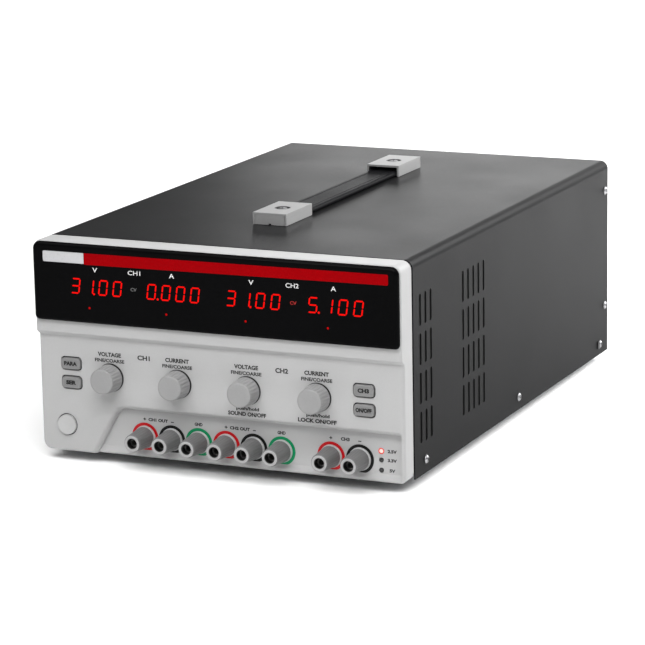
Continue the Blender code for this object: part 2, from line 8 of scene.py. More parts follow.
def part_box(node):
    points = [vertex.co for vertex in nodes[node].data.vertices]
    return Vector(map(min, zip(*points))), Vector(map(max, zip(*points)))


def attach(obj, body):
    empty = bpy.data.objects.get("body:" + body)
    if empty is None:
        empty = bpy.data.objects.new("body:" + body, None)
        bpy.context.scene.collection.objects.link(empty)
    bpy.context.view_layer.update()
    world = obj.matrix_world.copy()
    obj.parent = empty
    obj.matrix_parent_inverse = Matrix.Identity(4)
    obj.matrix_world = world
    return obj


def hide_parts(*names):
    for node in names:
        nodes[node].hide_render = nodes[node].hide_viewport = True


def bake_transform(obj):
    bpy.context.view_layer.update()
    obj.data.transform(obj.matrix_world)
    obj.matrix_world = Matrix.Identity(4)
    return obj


# The looks of a bench power supply. Shapes are drawn in the case frame, in millimetres: +X to the
# right of someone facing the front, y = 0 on the front of the upper bezel, z = 0 under the case.

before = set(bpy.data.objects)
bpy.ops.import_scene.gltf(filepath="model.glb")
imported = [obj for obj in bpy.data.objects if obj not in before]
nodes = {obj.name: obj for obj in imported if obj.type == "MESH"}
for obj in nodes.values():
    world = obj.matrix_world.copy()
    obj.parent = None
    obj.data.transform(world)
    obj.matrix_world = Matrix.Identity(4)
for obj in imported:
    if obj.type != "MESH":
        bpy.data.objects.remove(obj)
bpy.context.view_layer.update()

MM = 0.001
BEZEL_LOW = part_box("front_bezel")[0]
COVER_LOW, COVER_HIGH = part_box("top_cover")
CASE_ORIGIN = Vector((0, BEZEL_LOW.y, COVER_LOW.z))
CASE_TO_WORLD = Matrix.Translation(CASE_ORIGIN) @ Matrix.Scale(MM, 4)


def case_box(node):
    """A CAD node's lowest and highest corners in the case frame."""
    low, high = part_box(node)
    return (low - CASE_ORIGIN) / MM, (high - CASE_ORIGIN) / MM


def case_middle(node):
    low, high = case_box(node)
    return (low + high) / 2


def front_view(node):
    """A CAD node's corners, and its middle as (x, z)."""
    low, high = case_box(node)
    middle = (low + high) / 2
    return low, high, (middle.x, middle.z)


WIDTH = (COVER_HIGH.x - COVER_LOW.x) / MM
HEIGHT = (COVER_HIGH.z - COVER_LOW.z) / MM
HALF = WIDTH / 2
CORNER = 6.0
SHEET = 0.8
COVER_FRONT = case_box("top_cover")[0].y
COVER_BACK = case_box("top_cover")[1].y

CONTROL_Y = 3.3
STEP_BOTTOM = 79.2
STEP_TOP = 83.0
RECESS_Y = 8.3
RECESS_TOP = 34.3
RECESS_RIGHT = 130.3
RECESS_LEFT_FOOT = -93.6
RECESS_LEFT_HEAD = -75.0
BEZEL_BACK = 17.9
BEZEL_WALL = 2.8
PANEL_BACK = 6.1
KEY_FACE = (14.2, 7.9)
KEY_OPENING = (15.6, 9.3)
POWER_OPENING = 7.5
DISPLAY_Z = 116.1

KNOBS = [f"knob_{n}" for n in range(1, 5)]
KEYS = ["key_parallel", "key_series", "key_channel", "key_output"]
POSTS = [f"post_{n}" for n in range(1, 9)]
CAPS = [f"post_cap_{n}" for n in range(1, 9)]
POST_COLOURS = ["red", "black", "green", "red", "black", "green", "red", "black"]
PILOTS_X = 114.0
PILOTS_Z = (20.6, 14.6, 7.8)

# ---------------- shapes


def arc(centre, radius, start, end, steps):
    """Points on an arc in degrees, both ends included."""
    points = []
    for i in range(steps + 1):
        angle = math.radians(start + (end - start) * i / steps)
        points.append((centre[0] + radius * math.cos(angle), centre[1] + radius * math.sin(angle)))
    return points


def rounded_rectangle(centre, width, height, radius, steps=8):
    points = []
    for i, (sx, sz) in enumerate(((1, 1), (-1, 1), (-1, -1), (1, -1))):
        corner = (centre[0] + sx * (width / 2 - radius), centre[1] + sz * (height / 2 - radius))
        points += arc(corner, radius, 90 * i, 90 * i + 90, steps)
    return points


def loft(loops):
    """A closed shape through a stack of loops with equal point counts."""
    bm = bmesh.new()
    rings = [[bm.verts.new(Vector(point)) for point in loop] for loop in loops]
    for lower, upper in zip(rings, rings[1:]):
        for i in range(len(lower)):
            j = (i + 1) % len(lower)
            bm.faces.new((lower[i], lower[j], upper[j], upper[i]))
    bm.faces.new(rings[0][::-1])
    bm.faces.new(rings[-1])
    bmesh.ops.recalc_face_normals(bm, faces=bm.faces)
    return bm


def stack(outlines, axis="y"):
    """A loft through (outline, place) pairs, stacked along y or z or x."""
    turn = {
        "x": lambda a, b, c: (c, a, b),
        "y": lambda a, b, c: (a, c, b),
        "z": lambda a, b, c: (a, b, c),
    }[axis]
    return loft([[turn(a, b, place) for a, b in outline] for outline, place in outlines])


def prism(outline, low, high, axis="y"):
    return stack([(outline, low), (outline, high)], axis)


def block(x, y, z):
    return prism([(x[0], z[0]), (x[1], z[0]), (x[1], z[1]), (x[0], z[1])], y[0], y[1])


def turned(profile, centre, segments=48, axis="y", flutes=0, depth=0.0, fluted=None):
    """A (radius, place) profile turned about an axis, with optional flutes between two places."""
    bm = bmesh.new()
    rings = []
    for radius, place in profile:
        ring = []
        for i in range(segments if radius > 0 else 1):
            angle = 2 * math.pi * i / segments
            reach = radius
            if flutes and fluted[0] <= place <= fluted[1]:
                reach -= depth * (0.5 + 0.5 * math.cos(flutes * angle)) ** 2
            a = centre[0] + reach * math.cos(angle)
            b = centre[1] + reach * math.sin(angle)
            ring.append(bm.verts.new({"x": (place, a, b), "y": (a, place, b), "z": (a, b, place)}[axis]))
        rings.append(ring)
    closed = profile[0][0] > 0 and profile[-1][0] > 0
    pairs = list(zip(rings, rings[1:])) + ([(rings[-1], rings[0])] if closed else [])
    for first, second in pairs:
        for i in range(segments):
            j = (i + 1) % segments
            corners = [first[i % len(first)], first[j % len(first)]]
            corners += [second[j % len(second)], second[i % len(second)]]
            unique = list(dict.fromkeys(corners))
            if len(unique) > 2:
                bm.faces.new(unique)
    bmesh.ops.recalc_face_normals(bm, faces=bm.faces)
    return bm


def from_level(level, *points):
    """Profile points whose second value is measured from a level."""
    return [(radius, level + offset) for radius, offset in points]


def rod(radius, centre, low, high, segments=32, axis="y"):
    return turned([(0, low), (radius, low), (radius, high), (0, high)], centre, segments, axis)


def linked(name, data):
    """A new object in the scene."""
    obj = bpy.data.objects.new(name, data)
    bpy.context.scene.collection.objects.link(obj)
    return obj


def as_mesh(name, bm):
    mesh = bpy.data.meshes.new(name)
    bm.to_mesh(mesh)
    bm.free()
    return mesh


def take_mesh(bm, mesh):
    """Adds a mesh to the shape and removes it from the file."""
    bm.from_mesh(mesh)
    bpy.data.meshes.remove(mesh)
    return bm


def evaluated(obj):
    """The shape of an object with its modifiers, or of a text's letters."""
    graph = bpy.context.evaluated_depsgraph_get()
    return take_mesh(bmesh.new(), bpy.data.meshes.new_from_object(obj.evaluated_get(graph)))


def together(*shapes):
    bm = bmesh.new()
    for part in shapes:
        take_mesh(bm, as_mesh("shape", part))
    return bm


def move(bm, matrix):
    bmesh.ops.transform(bm, matrix=matrix, verts=bm.verts)
    return bm


def turn_at(centre, degrees, axis="Y"):
    """A turn about an axis, followed by a move to a centre."""
    return Matrix.Translation(centre) @ Matrix.Rotation(math.radians(degrees), 4, axis)


def boolean(base, other, operation):
    first, second = [linked("helper", as_mesh("helper", bm)) for bm in (base, other)]
    modifier = first.modifiers.new("boolean", "BOOLEAN")
    modifier.operation = operation
    modifier.object = second
    bm = evaluated(first)
    for obj in (first, second):
        bpy.data.objects.remove(obj)
    return bm


def cut(base, *cutters):
    for cutter in cutters:
        base = boolean(base, cutter, "DIFFERENCE")
    return base


def join(base, *others):
    for other in others:
        base = boolean(base, other, "UNION")
    return base


def edge_drop(distance, radius):
    """How far a rounded edge falls back at a distance from the edge."""
    if distance >= radius:
        return 0.0
    return radius - math.sqrt(radius**2 - (radius - distance) ** 2)


def quarter_turn(steps):
    """The sine and cosine of each step from 0 to 90 degrees."""
    angles = [math.radians(90 * i / steps) for i in range(steps + 1)]
    return [(math.sin(angle), math.cos(angle)) for angle in angles]


def smooth(t):
    t = min(max(t, 0.0), 1.0)
    return t * t * (3 - 2 * t)


def piece(name, bm, material, body="case", stands_for=(), sharp=32, bevel=0.0):
    """The shape as a named object that rides on a CAD body."""
    mesh = as_mesh(name, move(bm, CASE_TO_WORLD))
    obj = linked(name, mesh)
    mesh.materials.clear()
    mesh.materials.append(material)
    if bevel:
        rounding = obj.modifiers.new("rounding", "BEVEL")
        rounding.width = bevel * MM
        rounding.segments = 3
        rounding.limit_method = "ANGLE"
        rounding.angle_limit = math.radians(40)
        rounding.harden_normals = False
    mesh.shade_smooth()
    mesh.set_sharp_from_angle(angle=math.radians(180 if bevel else sharp))
    weighted = obj.modifiers.new("normals", "WEIGHTED_NORMAL")
    weighted.keep_sharp = True
    weighted.weight = 80
    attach(obj, body)
    if stands_for:
        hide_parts(*stands_for)
    return obj


# ---------------- materials


def new_material(name):
    made = bpy.data.materials.new(name)
    made.use_nodes = True
    return made, made.node_tree.nodes, made.node_tree.links


def set_inputs(node, **values):
    """Sets a node's inputs. An underscore stands for a space in an input's name."""
    for name, value in values.items():
        node.inputs[name.replace("_", " ")].default_value = value
    return node


def colour_ramp(tree, low_colour, high_colour):
    ramp = tree.new("ShaderNodeValToRGB")
    low, high = ramp.color_ramp.elements
    low.position, high.position = 0.3, 0.7
    low.color, high.color = (*low_colour, 1), (*high_colour, 1)
    return ramp


def surface(name, colour, roughness, metallic=0.0, variation=0.05, grain=900.0, bump=0.00004,
            rough_variation=0.08, stretch=(1, 1, 1), specular=0.5, patch=14.0):
    """A procedural finish: broad and fine colour variation, mottled gloss and a fine bump."""
    made, tree, links = new_material(name)
    shader = set_inputs(tree["Principled BSDF"], Metallic=metallic, Specular_IOR_Level=specular)
    where = tree.new("ShaderNodeTexCoord")
    scaled = set_inputs(tree.new("ShaderNodeMapping"), Scale=stretch)
    links.new(where.outputs["Object"], scaled.inputs["Vector"])

    broad = set_inputs(tree.new("ShaderNodeTexNoise"), Scale=patch, Detail=4)
    fine = set_inputs(tree.new("ShaderNodeTexNoise"), Scale=grain, Detail=3)
    for noise in (broad, fine):
        links.new(scaled.outputs["Vector"], noise.inputs["Vector"])
    both, half = [tree.new("ShaderNodeMath") for _ in range(2)]
    both.operation, half.operation = "MULTIPLY_ADD", "MULTIPLY"
    for noise, share in ((fine, both), (broad, half)):
        share.inputs[1].default_value = 0.5
        links.new(noise.outputs["Fac"], share.inputs[0])
    links.new(half.outputs[0], both.inputs[2])

    tint = colour_ramp(tree, [c * (1 - variation) for c in colour],
                       [min(c * (1 + variation), 1.0) for c in colour])
    links.new(both.outputs[0], tint.inputs["Fac"])
    links.new(tint.outputs["Color"], shader.inputs["Base Color"])

    gloss = set_inputs(tree.new("ShaderNodeMapRange"), From_Min=0.3, From_Max=0.7,
                       To_Min=max(roughness - rough_variation, 0.02),
                       To_Max=min(roughness + rough_variation, 1.0))
    links.new(both.outputs[0], gloss.inputs["Value"])
    links.new(gloss.outputs["Result"], shader.inputs["Roughness"])

    relief = set_inputs(tree.new("ShaderNodeBump"), Distance=bump, Strength=0.6)
    links.new(fine.outputs["Fac"], relief.inputs["Height"])
    links.new(relief.outputs["Normal"], shader.inputs["Normal"])
    return made


def glowing(name, colour, strength):
    """A lit segment, a lamp or a painted glow: its light varies a little over its surface."""
    dimmest = 0.88
    made, tree, links = new_material(name)
    shader = set_inputs(tree["Principled BSDF"], Roughness=0.3, Specular_IOR_Level=0.0,
                        Base_Color=(*[c * 0.02 for c in colour], 1), Emission_Strength=strength)
    where = tree.new("ShaderNodeTexCoord")
    noise = set_inputs(tree.new("ShaderNodeTexNoise"), Scale=500)
    links.new(where.outputs["Object"], noise.inputs["Vector"])
    tint = colour_ramp(tree, [c * dimmest for c in colour], colour)
    links.new(noise.outputs["Fac"], tint.inputs["Fac"])
    links.new(tint.outputs["Color"], shader.inputs["Emission Color"])
    return made


def grey(level):
    return (level, level, level)


LIGHT_PLASTIC = surface("light_grey_plastic", grey(0.38), 0.46, variation=0.02, bump=0.00003,
                        specular=0.12)
BUTTON_PLASTIC = surface("button_plastic", grey(0.39), 0.42, variation=0.02, bump=0.00003)
MID_PLASTIC = surface("mid_grey_plastic", grey(0.13), 0.5, bump=0.00005)
KEY_PLASTIC = surface("key_plastic", grey(0.17), 0.48, variation=0.04)
KNOB_PLASTIC = surface("knob_plastic", grey(0.24), 0.52, bump=0.00005)
DARK_PLASTIC = surface("dark_plastic", (0.014, 0.014, 0.015), 0.45, variation=0.15)
LENS = surface("display_gloss", (0.002, 0.002, 0.0022), 0.10, variation=0.2, rough_variation=0.03,
               bump=0.000004, grain=300, specular=0.025)
COVER = surface("cover_paint", (0.014, 0.014, 0.0145), 0.36, variation=0.10, grain=1500, bump=0.00005,
                rough_variation=0.05, specular=0.016)
ZINC = surface("zinc_sheet", (0.42, 0.43, 0.44), 0.38, 0.9, variation=0.12, grain=160, patch=40)
CHROME = surface("bright_metal", grey(0.47), 0.52, 0.9, variation=0.05, grain=900,
                 stretch=(1, 0.04, 1), bump=0.000006, rough_variation=0.05)
SCREW_STEEL = surface("screw_steel", (0.32, 0.32, 0.33), 0.34, 1.0, variation=0.1, grain=700)
SHAFT_METAL = surface("shaft_metal", (0.62, 0.62, 0.63), 0.3, 1.0, variation=0.06, stretch=(1, 0.1, 1))
BRASS = surface("socket_metal", (0.34, 0.33, 0.32), 0.34, 1.0, variation=0.08, grain=600)
STRAP = surface("strap_rubber", (0.009, 0.009, 0.010), 0.46, variation=0.12, grain=1300,
                bump=0.00006, specular=0.016)
FOOT_RUBBER = surface("foot_rubber", grey(0.018), 0.75, variation=0.15, bump=0.00008)
BOARD = surface("circuit_board", (0.015, 0.12, 0.05), 0.4, variation=0.25, grain=260, patch=60)
STEEL = surface("lamination_steel", (0.16, 0.155, 0.15), 0.5, 0.7, variation=0.2, grain=200)
ALUMINIUM = surface("black_aluminium", (0.03, 0.03, 0.032), 0.4, 0.6, variation=0.08,
                    stretch=(1, 0.1, 1))
RED_PLASTIC = surface("red_plastic", (0.42, 0.004, 0.008), 0.4, variation=0.06, specular=0.2)
BLACK_PLASTIC = surface("black_plastic", grey(0.006), 0.4, variation=0.1, specular=0.15)
GREEN_PLASTIC = surface("green_plastic", (0.002, 0.20, 0.075), 0.4, variation=0.06, specular=0.2)
PALE_PLASTIC = surface("pale_plastic", grey(0.48), 0.4, variation=0.03)
RIM_PLASTIC = surface("rim_plastic", grey(0.31), 0.45, variation=0.04)
BAND_RED = surface("band_red", (0.235, 0.0001, 0.0015), 0.25, variation=0.05, bump=0.000004,
                   specular=0.02)
PLATE_WHITE = surface("plate_white", (0.42, 0.42, 0.43), 0.3, variation=0.04, bump=0.000004,
                      specular=0.2)
PRINT_WHITE = surface("print_white", grey(0.62), 0.4, variation=0.04)
PRINT_DIM = surface("print_dim", grey(0.10), 0.4, variation=0.1, specular=0.1)
PRINT_DIM_RED = surface("print_dim_red", (0.24, 0.016, 0.014), 0.4, variation=0.1, specular=0.1)
PRINT_BLACK = surface("print_black", grey(0.010), 0.5, variation=0.15, specular=0.2)
PRINT_DARK = surface("print_dark", grey(0.014), 0.5, variation=0.15, specular=0.2)
PRINT_GREY = surface("print_grey", grey(0.022), 0.5, variation=0.1, specular=0.2)
LAMP_OFF = surface("lamp_off", grey(0.055), 0.25, variation=0.1)
SEGMENT = glowing("lit_segment", (1.0, 0.006, 0.004), 1.15)
POINT = glowing("lit_point", (1.0, 0.006, 0.006), 0.55)
LAMP_ON = glowing("lamp_on", (1.0, 0.55, 0.50), 1.6)
PAINTED_LAMP_GLOW = glowing("painted_lamp_glow", (1.0, 0.10, 0.08), 0.8)
RING_FINISH = {"red": RED_PLASTIC, "black": BLACK_PLASTIC, "green": GREEN_PLASTIC}

# ---------------- front bezel


def step_front(z):
    """Where the bezel's front surface lies at a height, before its edges are rounded."""
    return CONTROL_Y * (1 - smooth((z - STEP_BOTTOM) / (STEP_TOP - STEP_BOTTOM)))


def bezel_section(z):
    """One horizontal section of the bezel, with rounded front edges."""
    to_end = min(z, HEIGHT - z)
    half = HALF - edge_drop(to_end, CORNER)
    front = step_front(z) + edge_drop(to_end, 1.6)
    radius = 1.6 + 0.8 * (1 - smooth((z - STEP_BOTTOM) / (STEP_TOP - STEP_BOTTOM)))
    right = [(half - 0.5, BEZEL_BACK), (half, BEZEL_BACK - 0.5)]
    right += arc((half - radius, front + radius), radius, 0, -90, 8)
    left = [(-x, y) for x, y in reversed(right)]
    return [(x, y, z) for x, y in right + left]


def section_heights():
    ends = [CORNER * (1 - math.cos(math.radians(a))) for a in (0, 8, 16, 24, 32, 42, 52, 64, 77, 90)]
    steps = [STEP_BOTTOM + (STEP_TOP - STEP_BOTTOM) * i / 12 for i in range(13)]
    return ends + [20, 40, 60] + steps + [100, 120] + [HEIGHT - z for z in reversed(ends)]


def recess_outline(grow, foot=-3.0):
    """The terminal recess seen from the front. Its right side grows less, to keep the bezel's rim."""
    radius = 7.5 + 0.9 * grow
    right = RECESS_RIGHT - 0.5 + 0.15 * grow
    top = RECESS_TOP - 1.9 + grow
    left_foot = RECESS_LEFT_FOOT + 1.6 - 1.1 * grow
    left_head = RECESS_LEFT_HEAD + 1.6 - 0.6 * grow
    slant = math.degrees(math.atan2(top, left_head - left_foot))
    reach = radius * math.tan(math.radians(slant / 2))
    centre = (left_head + reach, top - radius)
    foot_x = left_foot + (foot / top) * (left_head - left_foot)
    points = [(foot_x, foot), (right, foot)]
    points += arc((right - 2.0, top - 2.0), 2.0, 0, 90, 6)
    points += arc(centre, radius, 90, 90 + slant, 12)
    return points


def recess_cutter():
    """The recess's wall rolls over from the panel and gets steeper towards the recess's floor."""
    spread = 3.6
    start = CONTROL_Y - 0.02
    outlines = [(recess_outline(spread), -4.0)]
    for sine, cosine in quarter_turn(12):
        outlines.append((recess_outline(spread * (1 - sine)), start + (RECESS_Y - start) * (1 - cosine)))
    return stack(outlines)


def flared_hole(outline, flare, face):
    """A hole cutter whose mouth is rounded by a small flare."""
    outlines = [(outline(flare), face - 2.0), (outline(flare), face - 0.01)]
    for sine, cosine in quarter_turn(4)[1:]:
        outlines.append((outline(flare * (1 - sine)), face + flare * (1 - cosine)))
    return stack(outlines + [(outline(0.0), 9.0)])


def circle(centre, radius, steps=48):
    return arc(centre, radius, 0, 360 - 360 / steps, steps - 1)


def make_bezel():
    body = loft([bezel_section(z) for z in section_heights()])
    body = cut(body, recess_cutter())
    low, high = RECESS_LEFT_FOOT - 1, RECESS_RIGHT + 0.6
    lip = [(6.75, 1.3), (6.9, 0.75), (7.3, 0.3), (8.0, 0.1), (9.5, 0.1), (9.5, 5.4), (8.25, 5.4)]
    lip += [(7.9, 4.6), (7.3, 3.4), (6.9, 2.4)]
    silhouette = rounded_rectangle((0, HEIGHT / 2), WIDTH - 0.3, HEIGHT - 0.1, CORNER - 0.1, 12)
    bar = boolean(prism(lip, low, high, "x"), prism(silhouette, 5, 12), "INTERSECT")
    body = join(body, bar)

    inner = HALF - BEZEL_WALL
    upper = block((-inner, inner), (3.0, 30), (STEP_TOP + 2, HEIGHT - 2.6))
    lower = block((-inner, inner), (PANEL_BACK, 30), (BEZEL_WALL, STEP_TOP + 4))
    lower = cut(lower, prism(recess_outline(5.0, -8), -1, RECESS_Y + 2.7))
    body = cut(body, join(upper, lower))

    holes = [rod(4.2, front_view(knob)[2], -1, 14) for knob in KNOBS]
    holes += [rod(4.3, front_view(post)[2], 5, 14) for post in POSTS]
    holes += [rod(1.75, (PILOTS_X, z), 5, 14, 24) for z in PILOTS_Z]
    holes.append(prism(rounded_rectangle((0, DISPLAY_Z), 246, 40, 3), -1, 4))
    for key in KEYS:
        key_at = front_view(key)[2]
        holes.append(flared_hole(
            lambda grow, at=key_at: rounded_rectangle(
                at, KEY_OPENING[0] + 2 * grow, KEY_OPENING[1] + 2 * grow, 2.8 + grow), 0.3, CONTROL_Y))
    power_at = front_view("power_button")[2]
    holes.append(flared_hole(lambda grow: circle(power_at, POWER_OPENING + grow, 64), 0.15, CONTROL_Y))
    body = cut(body, together(*holes))

    flange = prism(rounded_rectangle((0, HEIGHT / 2), WIDTH - 3.8, HEIGHT - 3.8, 4.3), 16.4, 24.0)
    hole = block((1.5 - inner, inner - 1.5), (10, 30), (BEZEL_WALL + 1.5, HEIGHT - 4.2))
    body = join(body, cut(flange, hole))
    piece("bezel_moulding", body, LIGHT_PLASTIC, "case", ["front_bezel"], sharp=38)
    make_edge_shade()


def make_edge_shade():
    """The cover's turned-in front edge, which fills the gap behind the bezel; it is black as painted
    shade for the gap.
    """
    outer = rounded_rectangle((0, HEIGHT / 2), WIDTH - 1.6, HEIGHT - 1.6, 5.4, 10)
    inner = rounded_rectangle((0, HEIGHT / 2), WIDTH - 3.6, HEIGHT - 3.6, 4.4, 10)
    front, back = BEZEL_BACK + 0.08, COVER_FRONT - 0.05
    ring = cut(prism(outer, front, back), prism(inner, front - 1, back + 1))
    piece("cover_edge_shade", ring, BLACK_PLASTIC, sharp=30)


# ---------------- display

LENS_LOW, LENS_HIGH = case_box("display_lens")
LENS_FACE = LENS_LOW.y
DIGIT_HEIGHT = 10.6
DIGIT_WIDTH = 6.6
STROKE = 0.98
SLANT = math.tan(math.radians(8))
LENS_PRINT = 0.06
POINT_RADIUS = 0.75
LOWER_POINTS_X = (-89.3, -32.4, 25.0, 83.2)
LOWER_POINTS_Z = 101.7

SEGMENTS = {
    "0": "abcdef",
    "1": "bc",
    "3": "abcdg",
    "5": "acdfg",
}
READINGS = (
    ("digits_volts_1", ((-99.1, "3"), (-88.9, "1"), (-78.6, "0"), (-68.1, "0")), -85.6),
    ("digits_amps_1", ((-42.8, "0"), (-32.2, "0"), (-21.7, "0"), (-11.2, "0")), -38.4),
    ("digits_volts_2", ((14.9, "3"), (25.4, "1"), (35.9, "0"), (46.6, "0")), 28.7),
    ("digits_amps_2", ((73.0, "5"), (83.6, "1"), (94.0, "0"), (104.7, "0")), 77.0),
)


def make_lens():
    width = LENS_HIGH.x - LENS_LOW.x
    height = LENS_HIGH.z - LENS_LOW.z
    middle = ((LENS_LOW.x + LENS_HIGH.x) / 2, (LENS_LOW.z + LENS_HIGH.z) / 2)
    depth = LENS_HIGH.y - LENS_LOW.y
    corners = ((1, 1, 5.4), (-1, 1, 5.4), (-1, -1, 3.4), (1, -1, 3.4))
    outlines = []
    for sine, cosine in quarter_turn(12):
        inset = 2.7 * (1 - cosine)
        reach = (width / 2 - inset, height / 2 - inset)
        outline = []
        for corner, (sx, sz, radius) in enumerate(corners):
            r = radius - inset
            at = (middle[0] + sx * (reach[0] - r), middle[1] + sz * (reach[1] - r))
            outline += arc(at, r, 90 * corner, 90 * corner + 90, 10)
        outlines.append((outline, LENS_HIGH.y - depth * sine))
    piece("lens_moulding", stack(outlines), LENS, "case", ["display_lens"], sharp=60)


def flat_shape(outline, face, thickness=0.08):
    """A printed mark: a thin plate on a face that looks towards -y."""
    return prism(outline, face - thickness, face)


def segment_outline(kind, x, z):
    """One bar of a seven-segment digit, with chamfered ends and the digit's slant."""
    w, h, t = DIGIT_WIDTH / 2 - STROKE / 2, DIGIT_HEIGHT / 2 - STROKE / 2, STROKE / 2
    gap = 0.22
    if kind in "adg":
        level = {"a": h, "d": -h, "g": 0}[kind]
        left, right = -w + gap + t * 0.4, w - gap - t * 0.4
        bar = [(left - t * 0.4, level), (left + t * 0.5, level + t), (right - t * 0.5, level + t),
               (right + t * 0.4, level), (right - t * 0.5, level - t), (left + t * 0.5, level - t)]
    else:
        side = w if kind in "bc" else -w
        low, high = (gap, h - gap) if kind in "bf" else (-h + gap, -gap)
        low, high = low + t * 0.4, high - t * 0.4
        bar = [(side, high + t * 0.4), (side - t, high - t * 0.5), (side - t, low + t * 0.5),
               (side, low - t * 0.4), (side + t, low + t * 0.5), (side + t, high - t * 0.5)]
    return [(x + a + b * SLANT, z + b) for a, b in bar]


def make_digits():
    face = LENS_FACE - LENS_PRINT
    for name, cells, point_x in READINGS:
        bars = [
            flat_shape(segment_outline(kind, x, DISPLAY_Z), face)
            for x, digit in cells for kind in SEGMENTS[digit]
        ]
        point_z = DISPLAY_Z - DIGIT_HEIGHT / 2 + 0.6
        bars.append(flat_shape(circle((point_x, point_z), POINT_RADIUS, 16), face))
        piece(name, together(*bars), SEGMENT)
    points = [
        flat_shape(circle((x, LOWER_POINTS_Z), POINT_RADIUS, 16), face) for x in LOWER_POINTS_X
    ]
    piece("display_points", together(*points), POINT)


def make_display_marks():
    """The blank white plate and the red band along the lens's upper edge."""
    face = LENS_FACE - LENS_PRINT / 2
    plate = [(-92.6, 131.3), (-92.6, 138.5)] + arc((-122.2, 137.4), 1.0, 90, 180, 4)
    plate += arc((-122.2, 132.2), 1.0, 180, 270, 4)
    piece("display_plate", flat_shape(plate, face), PLATE_WHITE)
    band = [(-92.4, 138.5), (-92.4, 130.8)] + arc((124.4, 133.4), 0.9, 270, 360, 4)
    band += arc((124.4, 138.6), 0.9, 0, 90, 4)
    piece("display_band", flat_shape(band, face), BAND_RED)


# ---------------- lettering


LETTER_SIZE = 1.38
LETTER_DEPTH = 0.03


def lettering(name, words, face, material, body="case", weight=0.0):
    """Generic words as thin closed letters. Each word is (text, x, z, height, width)."""
    parts = []
    for text, x, z, height, width in words:
        curve = bpy.data.curves.new("letters", "FONT")
        curve.body = text
        curve.size = height * LETTER_SIZE
        curve.extrude = LETTER_DEPTH
        curve.offset = weight
        curve.resolution_u = 3
        curve.align_x = "CENTER"
        curve.align_y = "CENTER"
        obj = linked("letters", curve)
        bm = evaluated(obj)
        bpy.data.objects.remove(obj)
        bmesh.ops.remove_doubles(bm, verts=bm.verts, dist=0.001)
        ends = [min(v.co.x for v in bm.verts), max(v.co.x for v in bm.verts)]
        fit = Matrix.Diagonal((width / (ends[1] - ends[0]), 1, 1, 1))
        centre = Matrix.Translation((-(ends[0] + ends[1]) / 2, 0, 0))
        stand = Matrix.Rotation(math.radians(90), 4, "X")
        move(bm, Matrix.Translation((x, face - LETTER_DEPTH, z)) @ stand @ fit @ centre)
        parts.append(bm)
    piece(name, together(*parts), material, body, sharp=30)


def make_lettering():
    lens = LENS_FACE - LENS_PRINT / 2
    level = 127.5
    words = []
    for volts, channel, amps, text in ((-84.4, -55.3, -27.8, "CH1"), (29.5, 58.6, 87.5, "CH2")):
        words += [("V", volts, level, 3.2, 3.5), (text, channel, level, 3.0, 9.2)]
        words += [("A", amps, level, 3.2, 3.6)]
    lettering("lens_lettering", words, lens, PRINT_WHITE, weight=0.02)
    lettering("lens_mark_1", [("CV", -56.0, 116.4, 2.2, 4.6)], lens, PRINT_DIM,
              weight=0.08)
    lettering("lens_mark_2", [("CV", 59.2, 116.2, 2.2, 4.6)], lens, PRINT_DIM_RED,
              weight=0.08)

    knobs = [case_middle(k).x for k in KNOBS]
    big, small = [], []
    for x, quantity in zip(knobs, ("VOLTAGE", "CURRENT", "VOLTAGE", "CURRENT")):
        big.append((quantity, x - 0.4, 69.2, 2.7, 17.4))
        small.append(("FINE/COARSE", x - 0.4, 65.1, 2.3, 22.0))
    for first, second, text in ((0, 1, "CH1"), (2, 3, "CH2")):
        big.append((text, (knobs[first] + knobs[second]) / 2, 68.9, 3.1, 9.2))
    for x, text in ((knobs[2], "SOUND ON/OFF"), (knobs[3], "LOCK ON/OFF")):
        small.append(("push/hold", x, 41.4, 2.1, 16.5))
        big.append((text, x - 0.5, 37.6, 2.6, 27.5))
    lettering("panel_lettering", big, CONTROL_Y, PRINT_GREY, weight=0.16)
    lettering("panel_small_lettering", small, CONTROL_Y, PRINT_GREY,
              weight=0.11)

    posts = [case_middle(p).x for p in POSTS]
    line = 25.9
    words = []
    for plus, minus, ground, text in ((0, 1, 2, "CH1 OUT"), (3, 4, 5, "CH2 OUT")):
        words += [("+", posts[plus], line, 2.4, 2.2), ("-", posts[minus] + 0.6, line, 2.4, 2.2)]
        words.append((text, (posts[plus] + posts[minus]) / 2, line, 2.0, 14.5))
        words.append(("GND", posts[ground], line, 2.1, 5.8))
    words += [("+", posts[6], line, 2.4, 2.2), ("CH3", (posts[6] + posts[7]) / 2, line, 2.1, 6.2)]
    words.append(("-", posts[7], line, 2.4, 2.2))
    words += [(text, 121.6, z, 2.0, width)
              for text, z, width in zip(("2.5V", "3.3V", "5V"), PILOTS_Z, (6.4, 6.4, 4.0))]
    lettering("recess_lettering", words, RECESS_Y, PRINT_DARK, weight=0.14)


# ---------------- controls


def make_knobs():
    for number, node in enumerate(KNOBS, start=1):
        low, high, at = front_view(node)
        profile = from_level(high.y, (0, -7.9), (3.4, -7.9), (3.4, 0), (9.0, 0), (9.45, -0.25),
                             (9.5, -0.8), (9.25, -3.5), (8.95, -7.5))
        profile.append((8.65, low.y + 1.6))
        profile += [(b, a) for a, b in arc((low.y + 1.2, 7.4), 1.2, 88, 180, 7)]
        profile += from_level(low.y, (6.0, 0), (3.0, 0.1), (0, 0.14))
        knob = turned(profile[::-1], at, 192, flutes=24, depth=0.42,
                      fluted=(low.y + 1.5, high.y - 0.9))
        piece(f"knob_cap_{number}", knob, KNOB_PLASTIC, node, [node], sharp=50)
        # A dark ring on the panel round each knob's foot: painted shade for the gap between knob and
        # panel.
        knob_shadow_profile = from_level(CONTROL_Y, (4.6, -0.02), (9.75, -0.02), (9.75, -0.10), (9.6, -0.14),
                           (4.6, -0.14))
        piece(f"knob_shadow_ring_{number}", turned(knob_shadow_profile, at, 96), DARK_PLASTIC)


